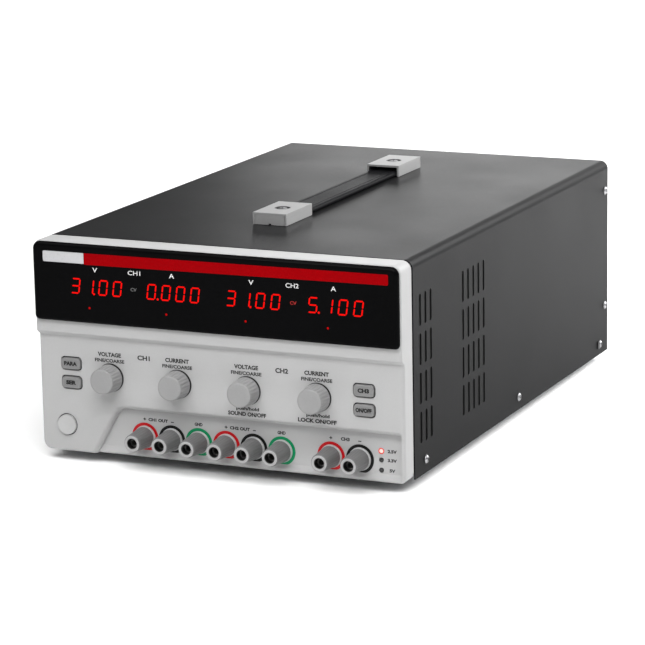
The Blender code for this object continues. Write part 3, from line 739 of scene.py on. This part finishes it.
def make_keys():
    labels = dict(zip(KEYS, (("PARA", 9.6), ("SER", 7.6), ("CH3", 8.0), ("ON/OFF", 11.2))))
    for key in KEYS:
        low, high, at = front_view(key)
        outlines = []
        for sine, cosine in quarter_turn(8):
            inset = 1 - cosine
            width, height = [size - 2 * inset for size in KEY_FACE]
            outline = rounded_rectangle(at, width, height, 2.3 - inset * 0.8)
            outlines.append((outline, low.y + 1.0 - sine))
        outlines.append((rounded_rectangle(at, 10.4, 4.1, 1.0), low.y + 0.12))
        flange = rounded_rectangle(at, 17.2, 10.8, 2.0)
        body = stack([(flange, 7.8), (flange, 6.4)])
        base = outlines[0][0]
        body = join(body, stack([(base, 7.0), (base, 6.3)] + outlines))
        stem = rod(1.8, at, 7.4, high.y)
        piece(f"{key}_cap", join(body, stem), KEY_PLASTIC, key, [key], sharp=45)
        text, text_width = labels[key]
        lettering(f"{key}_lettering", [(text, *at, 2.6, text_width)], low.y + 0.06, PRINT_BLACK,
                  body=key, weight=0.2)
        # Black rings behind each key's opening: painted shade that darkens the gap round the key.
        opening = rounded_rectangle(at, *[size + 0.1 for size in KEY_OPENING], 2.85)
        around = rounded_rectangle(at, *[size + 0.06 for size in KEY_FACE], 2.33)
        gap_shade = cut(prism(opening, 4.3, 4.7), prism(around, 4, 5))
        piece(f"{key}_seal", gap_shade, BLACK_PLASTIC, sharp=30)


def make_power_button():
    low, high, at = front_view("power_button")
    profile = from_level(low.y, (0, 0.95), (3.0, 0.85), (5.0, 0.62), (6.1, 0.42), (6.6, 0.45),
                         (6.85, 0.75), (6.9, 1.3))
    profile += [(6.9, 6.4), (8.2, 6.4), (8.2, 8.0), (2.6, 8.0), (2.6, high.y), (0, high.y)]
    piece("power_button_cap", turned(profile, at, 96), BUTTON_PLASTIC, "power_button",
          ["power_button"], sharp=45)
    # A black ring behind the button's opening: painted shade that darkens the gap round the button.
    gap_shade = [(6.93, 3.9), (7.55, 3.9), (7.55, 4.3), (6.93, 4.3)]
    piece("power_button_gap_shade", turned(gap_shade, at, 72), BLACK_PLASTIC, sharp=30)


# ---------------- terminals


def make_posts():
    for number, (post, cap, colour) in enumerate(zip(POSTS, CAPS, POST_COLOURS), start=1):
        low, high, at = front_view(cap)
        sleeve = from_level(high.y, (3.42, 0), (6.6, 0), (7.15, -0.15), (7.3, -0.6), (7.15, -2.0))
        sleeve.append((6.55, (low.y + high.y) / 2))
        sleeve += from_level(low.y, (6.0, 1.6), (5.9, 0.75), (5.65, 0.25), (5.2, 0), (4.0, 0),
                             (3.6, 0.1), (3.5, 0.4), (3.5, 4.6), (3.42, 4.9))
        body = turned(sleeve, at, 144, flutes=24, depth=0.22, fluted=(low.y + 1.5, high.y - 0.7))
        piece(f"post_sleeve_{number}", body, MID_PLASTIC, cap, [cap], sharp=45)
        rim = from_level(low.y, (3.75, -0.05), (5.3, -0.05), (5.35, 0.06), (3.7, 0.06))
        piece(f"post_rim_{number}", turned(rim, at, 64), RIM_PLASTIC, cap)
        # A black sleeve inside the cap's mouth: painted shade that keeps the hole dark.
        bore_shade = from_level(low.y, (3.32, 0.5), (3.52, 0.3), (3.52, 4.3), (3.32, 4.3))
        piece(f"post_bore_shade_{number}", turned(bore_shade, at, 48), BLACK_PLASTIC, cap)
        make_post_socket(number, post, at)
        make_post_ring(number, colour, at)


def make_post_socket(number, post, at):
    """The metal tube with its slotted mouth, the collar on the panel, and the nut and stud behind."""
    low, high = case_box(post)
    tube = [(0, 5.0), (2.05, 5.0), (2.05, low.y + 0.35), (2.3, low.y), (2.75, low.y)]
    tube += [(3.05, low.y + 0.3), (3.1, low.y + 0.7), (3.1, 7.2), (4.0, 7.2), (4.0, 11.4)]
    tube += [(6.4, 11.4), (6.4, 14.6), (2.4, 14.6), (2.4, high.y), (0, high.y)]
    slits = [
        move(block((-0.28, 0.28), (low.y - 1, low.y + 6), (-4, 4)), turn_at((at[0], 0, at[1]), angle))
        for angle in (35, 125)
    ]
    metal = cut(turned(tube, at, 48), *slits)
    piece(f"post_socket_{number}", metal, BRASS, "case", [post], sharp=40)


def make_post_ring(number, colour, at):
    ring = from_level(RECESS_Y, (7.75, -0.02), (9.75, -0.02), (9.8, -0.12), (9.65, -0.24),
                      (7.8, -0.24))
    piece(f"post_ring_{number}", turned(ring, at, 96), RING_FINISH[colour],
          sharp=60)
    collar = from_level(RECESS_Y, (3.5, -0.02), (7.6, -0.02), (7.7, -0.5))
    collar += [(7.6, 6.95), (7.3, 6.8), (3.5, 6.8)]
    piece(f"post_collar_{number}", turned(collar, at, 72), PALE_PLASTIC,
          sharp=60)


def make_pilots():
    for number, z in enumerate(PILOTS_Z, start=1):
        lit = number == 1
        size = 1.35 if lit else 0.75
        lamp = from_level(RECESS_Y, (0, -0.75), (size * 0.5, -0.65), (size * 0.9, -0.3),
                          (size, 0.3), (size, 4.0), (0, 4.0))
        piece(f"pilot_lamp_{number}", turned(lamp, (PILOTS_X, z), 32), LAMP_ON if lit else LAMP_OFF,
              sharp=60)
        # The lit lamp's ring glows red: painted light for the lamp's glow on the panel. The other rings
        # are dark plastic.
        bush = from_level(RECESS_Y, (size + 0.05, -0.2), (size + 0.7, -0.15), (size + 0.75, 0.1),
                          (size + 0.05, 0.1))
        piece(f"pilot_ring_{number}", turned(bush, (PILOTS_X, z), 32),
              PAINTED_LAMP_GLOW if lit else DARK_PLASTIC)


# ---------------- case

SLOT_LENGTH = 21.0
SLOT_WIDTH = 3.2
SLOT_ROWS_Z = (110.0, 84.1, 58.1, 32.1)
SLOT_COLUMNS_Y = (31.3, 40.2, 49.1, 105.6, 115.0, 124.4, 133.7, 143.1)
SIDE_SCREWS = ((38.8, 9.0), (209.7, 9.0), (382.6, 8.0), (393.5, 35.8), (393.5, 123.4))


def slot_outline(a, b, length=SLOT_LENGTH, width=SLOT_WIDTH):
    half = (length - width) / 2
    return arc((a, b + half), width / 2, 0, 180, 8) + arc((a, b - half), width / 2, 180, 360, 8)


def make_cover():
    outer = (HALF - CORNER, HEIGHT - CORNER)
    steps = 14
    outline = [(HALF, 0)] + arc(outer, CORNER, 0, 90, steps)
    outline += arc((-outer[0], outer[1]), CORNER, 90, 180, steps) + [(-HALF, 0)]
    outline += [(SHEET - HALF, 0)] + arc((-outer[0], outer[1]), CORNER - SHEET, 180, 90, steps)
    outline += arc(outer, CORNER - SHEET, 90, 0, steps) + [(HALF - SHEET, 0)]
    sheet = prism(outline, COVER_FRONT, COVER_BACK)
    reach = HALF + 5
    slots = [
        prism(slot_outline(y, z), -reach, reach, "x") for y in SLOT_COLUMNS_Y for z in SLOT_ROWS_Z
    ]
    holes = [
        rod(3.0, (case_middle(s).x, case_middle(s).y), HEIGHT - 4, HEIGHT + 4, 24, "z")
        for s in ("handle_screw_front", "handle_screw_rear")
    ]
    piece("cover_sheet", cut(sheet, together(*slots, *holes)), COVER, "case", ["top_cover"],
          sharp=30)


def make_vent_shades():
    """Black sheets against the inside of the cover behind both groups of slots: painted shade that keeps
    the slots dark.
    """
    reach = SLOT_LENGTH / 2 + 3
    for side, word in ((1, "right"), (-1, "left")):
        near, far = side * (HALF - SHEET - 0.15), side * (HALF - SHEET - 0.65)
        x = (min(near, far), max(near, far))
        for number, columns in enumerate((SLOT_COLUMNS_Y[:3], SLOT_COLUMNS_Y[3:]), start=1):
            y = (columns[0] - 3.5, columns[-1] + 3.5)
            z = (SLOT_ROWS_Z[-1] - reach, SLOT_ROWS_Z[0] + reach)
            piece(f"vent_shade_{word}_{number}", block(x, y, z), BLACK_PLASTIC)


def screw_head(radius, height):
    """A pan head that looks along +z from z = 0, with a cross recess."""
    profile = [(0, height), (radius * 0.45, height * 0.94), (radius * 0.75, height * 0.74)]
    profile += [(radius * 0.93, height * 0.42), (radius, 0.12), (radius, 0), (0, 0)]
    head = turned(profile, (0, 0), 40, "z")
    depth = (height * 0.2, height + 1)
    reach, half = (-radius * 0.56, radius * 0.56), (-radius * 0.17, radius * 0.17)
    return cut(head, join(block(reach, half, depth), block(half, reach, depth)))


def place_screw(name, at, facing, radius, height, spin):
    """A screw's head on a face at a point in the case frame, facing along a direction."""
    turn = Vector((0, 0, 1)).rotation_difference(Vector(facing)).to_matrix().to_4x4()
    spun = Matrix.Rotation(math.radians(spin), 4, "Z")
    head = move(screw_head(radius, height), Matrix.Translation(Vector(at)) @ turn @ spun)
    piece(name, head, SCREW_STEEL, sharp=30)


def make_side_screws():
    for side, word in ((1, "right"), (-1, "left")):
        for number, (y, z) in enumerate(SIDE_SCREWS, start=1):
            place_screw(f"cover_screw_{word}_{number}", (side * (HALF + 0.02), y, z), (side, 0, 0),
                        2.8, 1.6, 20 + 37 * number)
            # A black washer under each head, which also stands as painted shade round the screw.
            ring = turned([(2.0, 0.02), (3.5, 0.02), (3.5, 0.22), (2.0, 0.22)], (0, 0), 40, "x")
            ring = move(ring, turn_at((side * HALF, y, z), 180 if side < 0 else 0, "Z"))
            piece(f"cover_screw_shade_{word}_{number}", ring, BLACK_PLASTIC)
    clip = prism(rounded_rectangle((379.0, 8.0), 3.4, 5.6, 0.4, 3), HALF + 0.02, HALF + 0.9, "x")
    piece("cover_clip", clip, DARK_PLASTIC)


# ---------------- handle

CAP_WALL = 1.4


def make_handle_caps():
    for end in ("front", "rear"):
        low, high = case_box(f"handle_cap_{end}")
        middle = (low + high) / 2
        opens = 1 if end == "front" else -1
        shell = block((low.x, high.x), (low.y, high.y), (low.z, high.z))
        inside_y = (low.y + CAP_WALL, high.y + 5) if opens > 0 else (low.y - 5, high.y - CAP_WALL)
        hollow = block((low.x + CAP_WALL, high.x - CAP_WALL), inside_y, (low.z - 5, high.z - CAP_WALL))
        closed_y = low.y if opens > 0 else high.y
        notch = block((middle.x - 1.0, middle.x + 1.0), (closed_y - 3, closed_y + 3),
                      (low.z - 1, low.z + 0.9))
        sink = from_level(high.z, (0, -3), (4.0, -3), (4.0, -1.2), (5.6, -0.1), (5.6, 0.5), (0, 0.5))
        cutter = turned(sink, (middle.x, middle.y), 48, "z")
        seam = 0.3
        seams = [
            block((x - seam / 2, x + seam / 2), (closed_y - 0.5, closed_y + 0.5),
                  (low.z - 1, high.z - CAP_WALL))
            for x in (low.x + CAP_WALL, high.x - CAP_WALL)
        ]
        seams.append(block((low.x + 0.9, high.x - 0.9), (closed_y - 0.4, closed_y + 0.4),
                           (high.z - CAP_WALL - seam, high.z - CAP_WALL)))
        body = cut(shell, hollow, notch, cutter, *seams)
        piece(f"cap_channel_{end}", body, CHROME, "case", [f"handle_cap_{end}"],
              bevel=0.3)
        make_handle_screw(end, middle, high.z)


def make_handle_screw(end, middle, top):
    bottom = case_box(f"handle_screw_{end}")[0].z
    profile = [(0, bottom), (2.4, bottom)]
    profile += from_level(top, (2.4, -2.2), (3.3, -0.8), (3.2, -0.45), (2.4, -0.2), (0, -0.08))
    screw = turned(profile, (middle.x, middle.y), 48, "z")
    arms = [
        move(block((-2.1, 2.1), (-0.42, 0.42), (top - 1.6, top + 1)),
             turn_at((middle.x, middle.y, 0), angle, "Z"))
        for angle in (28, 118)
    ]
    piece(f"strap_screw_{end}", cut(screw, *arms), SCREW_STEEL, "case", [f"handle_screw_{end}"],
          sharp=30)
    # A dark plastic cup in the countersink, which also stands as painted shade in the screw's recess.
    cup = from_level(top, (3.45, -1.65), (3.9, -1.4), (5.55, -0.2), (5.55, -0.04), (5.15, -0.04),
                     (3.45, -1.2))
    piece(f"screw_recess_shade_{end}", turned(cup, (middle.x, middle.y), 48, "z"), DARK_PLASTIC)


def strap_outline(centre, width, height):
    """The strap's section: a flat top with a groove near each edge, and full round sides."""
    radius = height / 2 - 0.02
    half = width / 2
    x, z = centre
    right = arc((x + half - radius, z), radius, -90, 90, 10)
    left = arc((x - half + radius, z), radius, 90, 270, 10)
    top = z + radius
    groove = x + half - 4.2
    right_groove = [(groove + 0.45, top), (groove + 0.15, top - 0.5), (groove - 0.15, top - 0.5),
                    (groove - 0.45, top)]
    left_groove = [(2 * x - a, b) for a, b in reversed(right_groove)]
    return right + right_groove + left_groove + left


def make_strap():
    """One band in three lengths, each around one of the strap's three hinges."""
    front_low, front_high = case_box("strap_end_front")
    rear_low, rear_high = case_box("strap_end_rear")
    link_end, link_start = case_box("strap_front")[1].y, case_box("strap_rear")[0].y
    pivots = (front_high.y + 0.3, (link_end + link_start) / 2, rear_low.y - 0.3)
    middle = ((front_low.x + front_high.x) / 2, (front_low.z + front_high.z) / 2 - 0.85)
    outline = strap_outline(middle, front_high.x - front_low.x, front_high.z - front_low.z - 0.4)
    rows = 60
    splits = ((pivots[0] + pivots[1]) / 2, (pivots[1] + pivots[2]) / 2)
    runs = (
        ("strap_run_front", front_low.y, splits[0], pivots[0], ("case", "strap_front"),
         ["strap_end_front"]),
        ("strap_run_middle", splits[0], splits[1], pivots[1], ("strap_front", "strap_rear"),
         ["strap_front", "strap_rear"]),
        ("strap_run_rear", splits[1], rear_high.y, pivots[2], ("strap_rear", "strap_end_rear"),
         ["strap_end_rear"]),
    )
    for name, low_y, high_y, pivot, bodies, stands_for in runs:
        bm = stack([(outline, low_y + (high_y - low_y) * i / rows) for i in range(rows + 1)])
        if name == "strap_run_front":
            bm = cut(bm, rod(3.0, (middle[0], case_middle("handle_screw_front").y), 100, 200, 24, "z"))
        if name == "strap_run_rear":
            screw = case_middle("handle_screw_rear").y
            bm = cut(bm, block((middle[0] - 3, middle[0] + 3), (screw - 3, screw + 14.5), (100, 200)))
        mesh = as_mesh(name, move(bm, CASE_TO_WORLD))
        mesh.materials.append(STRAP)
        mesh.shade_smooth()
        mesh.set_sharp_from_angle(angle=math.radians(40))
        obj = linked(name, mesh)
        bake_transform(obj)
        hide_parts(*stands_for)


# ---------------- back and underside


DUCT_RADIUS = 37.5
FAN_SCREW_REACH = 35.75
INLET_FLANGE = (50, 23)
INLET_SCREW_REACH = 20


def make_rear_panel():
    low, high = case_box("rear_panel")
    fan = case_middle("fan_frame")
    inlet = case_middle("mains_inlet")
    inside = high.y - 1.5
    corner = (high.x - 4.6, high.z - 4.6)
    outline = [(low.x, low.z), (high.x, low.z)] + arc(corner, 4.6, 0, 90, 8)
    outline += arc((-corner[0], corner[1]), 4.6, 90, 180, 8)
    plate = prism(outline, inside, high.y)
    sides = [
        block(sorted((side * high.x, side * (high.x - SHEET))), (low.y, inside + 0.6), (17, high.z - 5))
        for side in (-1, 1)
    ]
    through = (390, 405)
    duct = rod(DUCT_RADIUS, (fan.x, fan.z), *through, 96)
    opening = block((inlet.x - 13.9, inlet.x + 13.9), through, (inlet.z - 10.2, inlet.z + 10.2))
    vents = [prism(slot_outline(inlet.x - 28 + 8 * i, 100, 40, 3.2), *through) for i in range(8)]
    body = cut(join(plate, *sides), duct, opening, together(*vents))
    piece("rear_sheet", body, COVER, "case", ["rear_panel"], sharp=30)
    face = high.y + 0.02
    screws = ((-124, 10), (124, 10), (-124, 130), (124, 130), (0, 10))
    for number, (x, z) in enumerate(screws, start=1):
        place_screw(f"rear_screw_{number}", (x, face, z), (0, 1, 0), 3.1, 1.8, 15 * number)
    for number, side in enumerate((-1, 1), start=1):
        spot = (inlet.x + side * INLET_SCREW_REACH, case_box("mains_inlet")[1].y + 0.02, inlet.z)
        place_screw(f"inlet_screw_{number}", spot, (0, 1, 0), 2.6, 1.4, 40)


def make_fan_guard():
    low, high = case_box("fan_guard")
    at = front_view("fan_frame")[2]
    wire = 0.85
    parts = [
        turned(arc((radius, high.y - wire), wire, 0, 324, 9), at, 96)
        for radius in (38.0, 29.5, 21.0, 12.5)
    ]
    reach = 71.5 / math.sqrt(2)
    for angle in (45, -45):
        bar = rod(wire * 0.98, (0, 0), -reach, reach, 16, "x")
        bar = join(bar, *[rod(3.4, (end, 0), -0.8, 0.8, 32) for end in (-reach, reach)])
        parts.append(move(bar, turn_at((at[0], low.y + 0.9, at[1]), angle)))
    guard = join(parts[0], *parts[1:])
    piece("guard_wires", guard, CHROME, "case", ["fan_guard"], sharp=40)
    for number, (sx, sz) in enumerate(((1, 1), (-1, 1), (-1, -1), (1, -1)), start=1):
        spot = (at[0] + sx * FAN_SCREW_REACH, low.y + 1.75, at[1] + sz * FAN_SCREW_REACH)
        place_screw(f"fan_screw_{number}", spot, (0, 1, 0), 3.0, 1.6, 33 * number)


def make_fan():
    low, high, at = front_view("fan_frame")
    size = high.x - low.x
    rims = from_level(low.y, (0.6, 0), (0.0, 0.6), (0.0, 4.0), (2.4, 4.4))
    rims += from_level(high.y, (2.4, -4.4), (0.0, -4.0), (0.0, -0.6), (0.6, 0))
    outlines = [
        (rounded_rectangle(at, size - 2 * inset, size - 2 * inset, 5.0 - inset), y)
        for inset, y in rims
    ]
    flare = [(0, low.y - 5), (38.2, low.y - 5), (38.2, high.y - 3), (38.6, high.y - 0.9),
             (38.9, high.y + 5), (0, high.y + 5)]
    body = cut(stack(outlines), turned(flare, at, 96))
    hub = from_level(low.y, (0, 0), (15.2, 0), (16.0, 0.8), (16.0, 4.0), (0, 4.0))
    struts = [
        move(block((-1.6, 1.6), (low.y, low.y + 3.4), (12, 39)), turn_at((at[0], 0, at[1]), angle))
        for angle in (45, 135, 225, 315)
    ]
    housing = join(body, turned(hub, at, 64), *struts)
    piece("fan_housing", housing, DARK_PLASTIC, "case", ["fan_frame"], sharp=35)
    make_rotor(at, low.y, high.y)


def make_rotor(at, front, back):
    top = case_box("fan_rotor")[1].y
    profile = from_level(top, (0, -0.5), (13.4, -0.5), (14.2, 0), (15.6, -0.2), (16.4, -1.2))
    profile += [(16.5, front + 4.6), (0, front + 4.6)]
    rotor = turned(profile, at, 64)
    blades = 7
    for i in range(blades):
        rotor = join(rotor, fan_blade(at, (front + back) / 2 + 1, 2 * math.pi * i / blades))
    piece("fan_blades", rotor, DARK_PLASTIC, "fan_rotor", ["fan_rotor"], sharp=35)


def fan_blade(at, middle_y, angle):
    """A cambered blade from inside the hub to just short of the duct."""
    loops = []
    rows, columns = 6, 8
    for row in range(rows + 1):
        radius = 14.5 + (36.9 - 14.5) * row / rows
        lean = math.radians(55 - 17 * row / rows)
        chord = 7.0 + 0.14 * radius
        sweep = 0.10 * (row / rows) ** 2
        front, back = [], []
        for column in range(columns + 1):
            along = -1 + 2 * column / columns
            thick = 0.75 * math.sqrt(max(1 - along**2, 0.03))
            camber = 1.5 * (1 - along**2)
            for side, line in ((-1, front), (1, back)):
                across = side * thick - camber
                around = chord * along * math.cos(lean) - across * math.sin(lean)
                y = middle_y + chord * along * math.sin(lean) * 0.86 + across * math.cos(lean)
                turn = angle + around / radius + sweep
                line.append((at[0] + radius * math.cos(turn), y, at[1] + radius * math.sin(turn)))
        loops.append(front + back[::-1])
    return loft(loops)


def make_inlet():
    low, high, at = front_view("mains_inlet")
    face = high.y
    rims = from_level(face, (0.0, -2.6), (0.0, -0.7), (0.25, -0.25), (0.8, 0))
    flange = stack([
        (rounded_rectangle(at, *[size - 2 * inset for size in INLET_FLANGE], 4 - inset), y)
        for inset, y in rims
    ])
    body = prism(rounded_rectangle(at, 27.2, 19.8, 2), low.y, face - 1.5)
    mouth = [(-12.1, -8.3), (12.1, -8.3), (12.1, 3.4), (7.6, 8.3), (-7.6, 8.3), (-12.1, 3.4)]
    cavity = prism([(at[0] + x, at[1] + z) for x, z in mouth], 385, face + 5)
    sink = from_level(face, (0, -9), (1.7, -9), (1.7, -1.4), (3.2, 0.2), (0, 0.2))
    ears = [turned(sink, (at[0] + side * INLET_SCREW_REACH, at[1]), 32) for side in (-1, 1)]
    shell = cut(join(flange, body), cavity, together(*ears))
    piece("inlet_socket", shell, DARK_PLASTIC, "case", ["mains_inlet"], sharp=35)
    for number, (x, z) in enumerate(((-7, -2), (7, -2), (0, 2)), start=1):
        pin = stack([
            (rounded_rectangle((at[0] + x, at[1] + z), width, height, 0.3, 3), y)
            for width, height, y in ((2.0, 4.0, 384.5), (2.0, 4.0, 395.6), (1.2, 3.2, 396.5))
        ])
        piece(f"inlet_pin_{number}", pin, SHAFT_METAL)


def make_feet():
    for end in ("front", "rear"):
        for side in ("left", "right"):
            node = f"foot_{end}_{side}"
            low, high = case_box(node)
            middle = (low + high) / 2
            profile = from_level(low.z, (0, 2.4), (3.6, 2.4), (3.8, 0.5), (4.3, 0), (7.6, 0),
                                 (8.4, 0.3), (9.0, 1.1))
            profile += from_level(high.z, (9.9, -0.3), (9.7, 0), (0, 0))
            piece(f"{node}_rubber", turned(profile, (middle.x, middle.y), 64, "z"), FOOT_RUBBER,
                  "case", [node], sharp=40)
            place_screw(f"{node}_screw", (middle.x, middle.y, low.z + 2.38), (0, 0, -1), 3.0, 1.5, 30)


# ---------------- what keeps its CAD shape

KEPT = {
    "base_pan": ZINC, "display_board": BOARD, "control_board": BOARD, "main_board": BOARD,
    "transformer": STEEL, "heat_sink": ALUMINIUM, "power_switch": DARK_PLASTIC,
    **{f"encoder_{number}": DARK_PLASTIC for number in range(1, 5)},
    **{f"encoder_shaft_{number}": SHAFT_METAL for number in range(1, 5)},
}


def finish_kept_nodes():
    for name, material in KEPT.items():
        mesh = nodes[name].data
        mesh.materials.clear()
        mesh.materials.append(material)


# ---------------- floor, light and camera

CAMERA_PLACE = Vector((0.84587, -1.88200, 0.54199))
CAMERA_YAW = 24.489
CAMERA_PITCH = 13.087
CAMERA_ROLL = -1.099
CAMERA_LENS = 166.25
SENSOR = 36.0
FLOOR_REACH = 30


def make_floor():
    made, tree, _ = new_material("floor")
    set_inputs(tree["Principled BSDF"], Roughness=0.9, Specular_IOR_Level=0.0,
               Base_Color=(*grey(0.98), 1))
    bm = bmesh.new()
    bmesh.ops.create_grid(bm, x_segments=1, y_segments=1, size=FLOOR_REACH)
    mesh = as_mesh("floor", bm)
    mesh.materials.append(made)
    floor = linked("floor", mesh)


def area_light(name, place, aim, size, power, spread=180):
    light = bpy.data.lights.new(name, "AREA")
    light.shape = "RECTANGLE"
    light.size, light.size_y = size
    light.energy = power
    light.spread = math.radians(spread)
    obj = linked(name, light)
    obj.location = place
    obj.rotation_euler = (Vector(aim) - Vector(place)).to_track_quat("-Z", "Y").to_euler()


def make_light():
    world = bpy.data.worlds.new("studio")
    world.use_nodes = True
    set_inputs(world.node_tree.nodes["Background"], Color=(1, 1, 1, 1), Strength=0.15)
    bpy.context.scene.world = world
    ceiling = bpy.data.lights.new("ceiling", "SUN")
    ceiling.energy = 2.8
    ceiling.angle = math.radians(85)
    obj = linked("ceiling", ceiling)
    obj.rotation_euler = Vector((-0.10, 0.28, -1)).to_track_quat("-Z", "Y").to_euler()
    area_light("near_front", (0.06, -0.46, 0.43), (0.02, -0.19, 0.16), (0.5, 0.12), 0.76, 120)
    area_light("far_front", (0.9, -1.9, 1.0), (0, 0, 0.08), (1.2, 1.2), 1)
    area_light("right_back", (0.72, 0.80, 0.55), (0.60, 0.70, 0.0), (0.7, 0.7), 20)
    area_light("behind", (-0.08, 3.3, 0.65), (0, 0, 0.15), (3.1, 1.1), 42)
    bpy.context.scene.view_settings.view_transform = "Standard"


def make_camera():
    data = bpy.data.cameras.new("camera")
    data.sensor_width = SENSOR
    data.lens = CAMERA_LENS
    camera = linked("camera", data)
    tilt = Matrix.Rotation(math.radians(90 - CAMERA_PITCH), 4, "X")
    roll = Matrix.Rotation(math.radians(CAMERA_ROLL), 4, "Z")
    camera.matrix_world = turn_at(CAMERA_PLACE, CAMERA_YAW, "Z") @ tilt @ roll
    bpy.context.scene.camera = camera


# ---------------- all of it

make_camera()
make_bezel()
make_lens()
make_digits()
make_display_marks()
make_lettering()
make_knobs()
make_keys()
make_power_button()
make_posts()
make_pilots()
make_cover()
make_side_screws()
make_vent_shades()
make_handle_caps()
make_strap()
make_rear_panel()
make_fan_guard()
make_fan()
make_inlet()
make_feet()
finish_kept_nodes()
make_floor()
make_light()
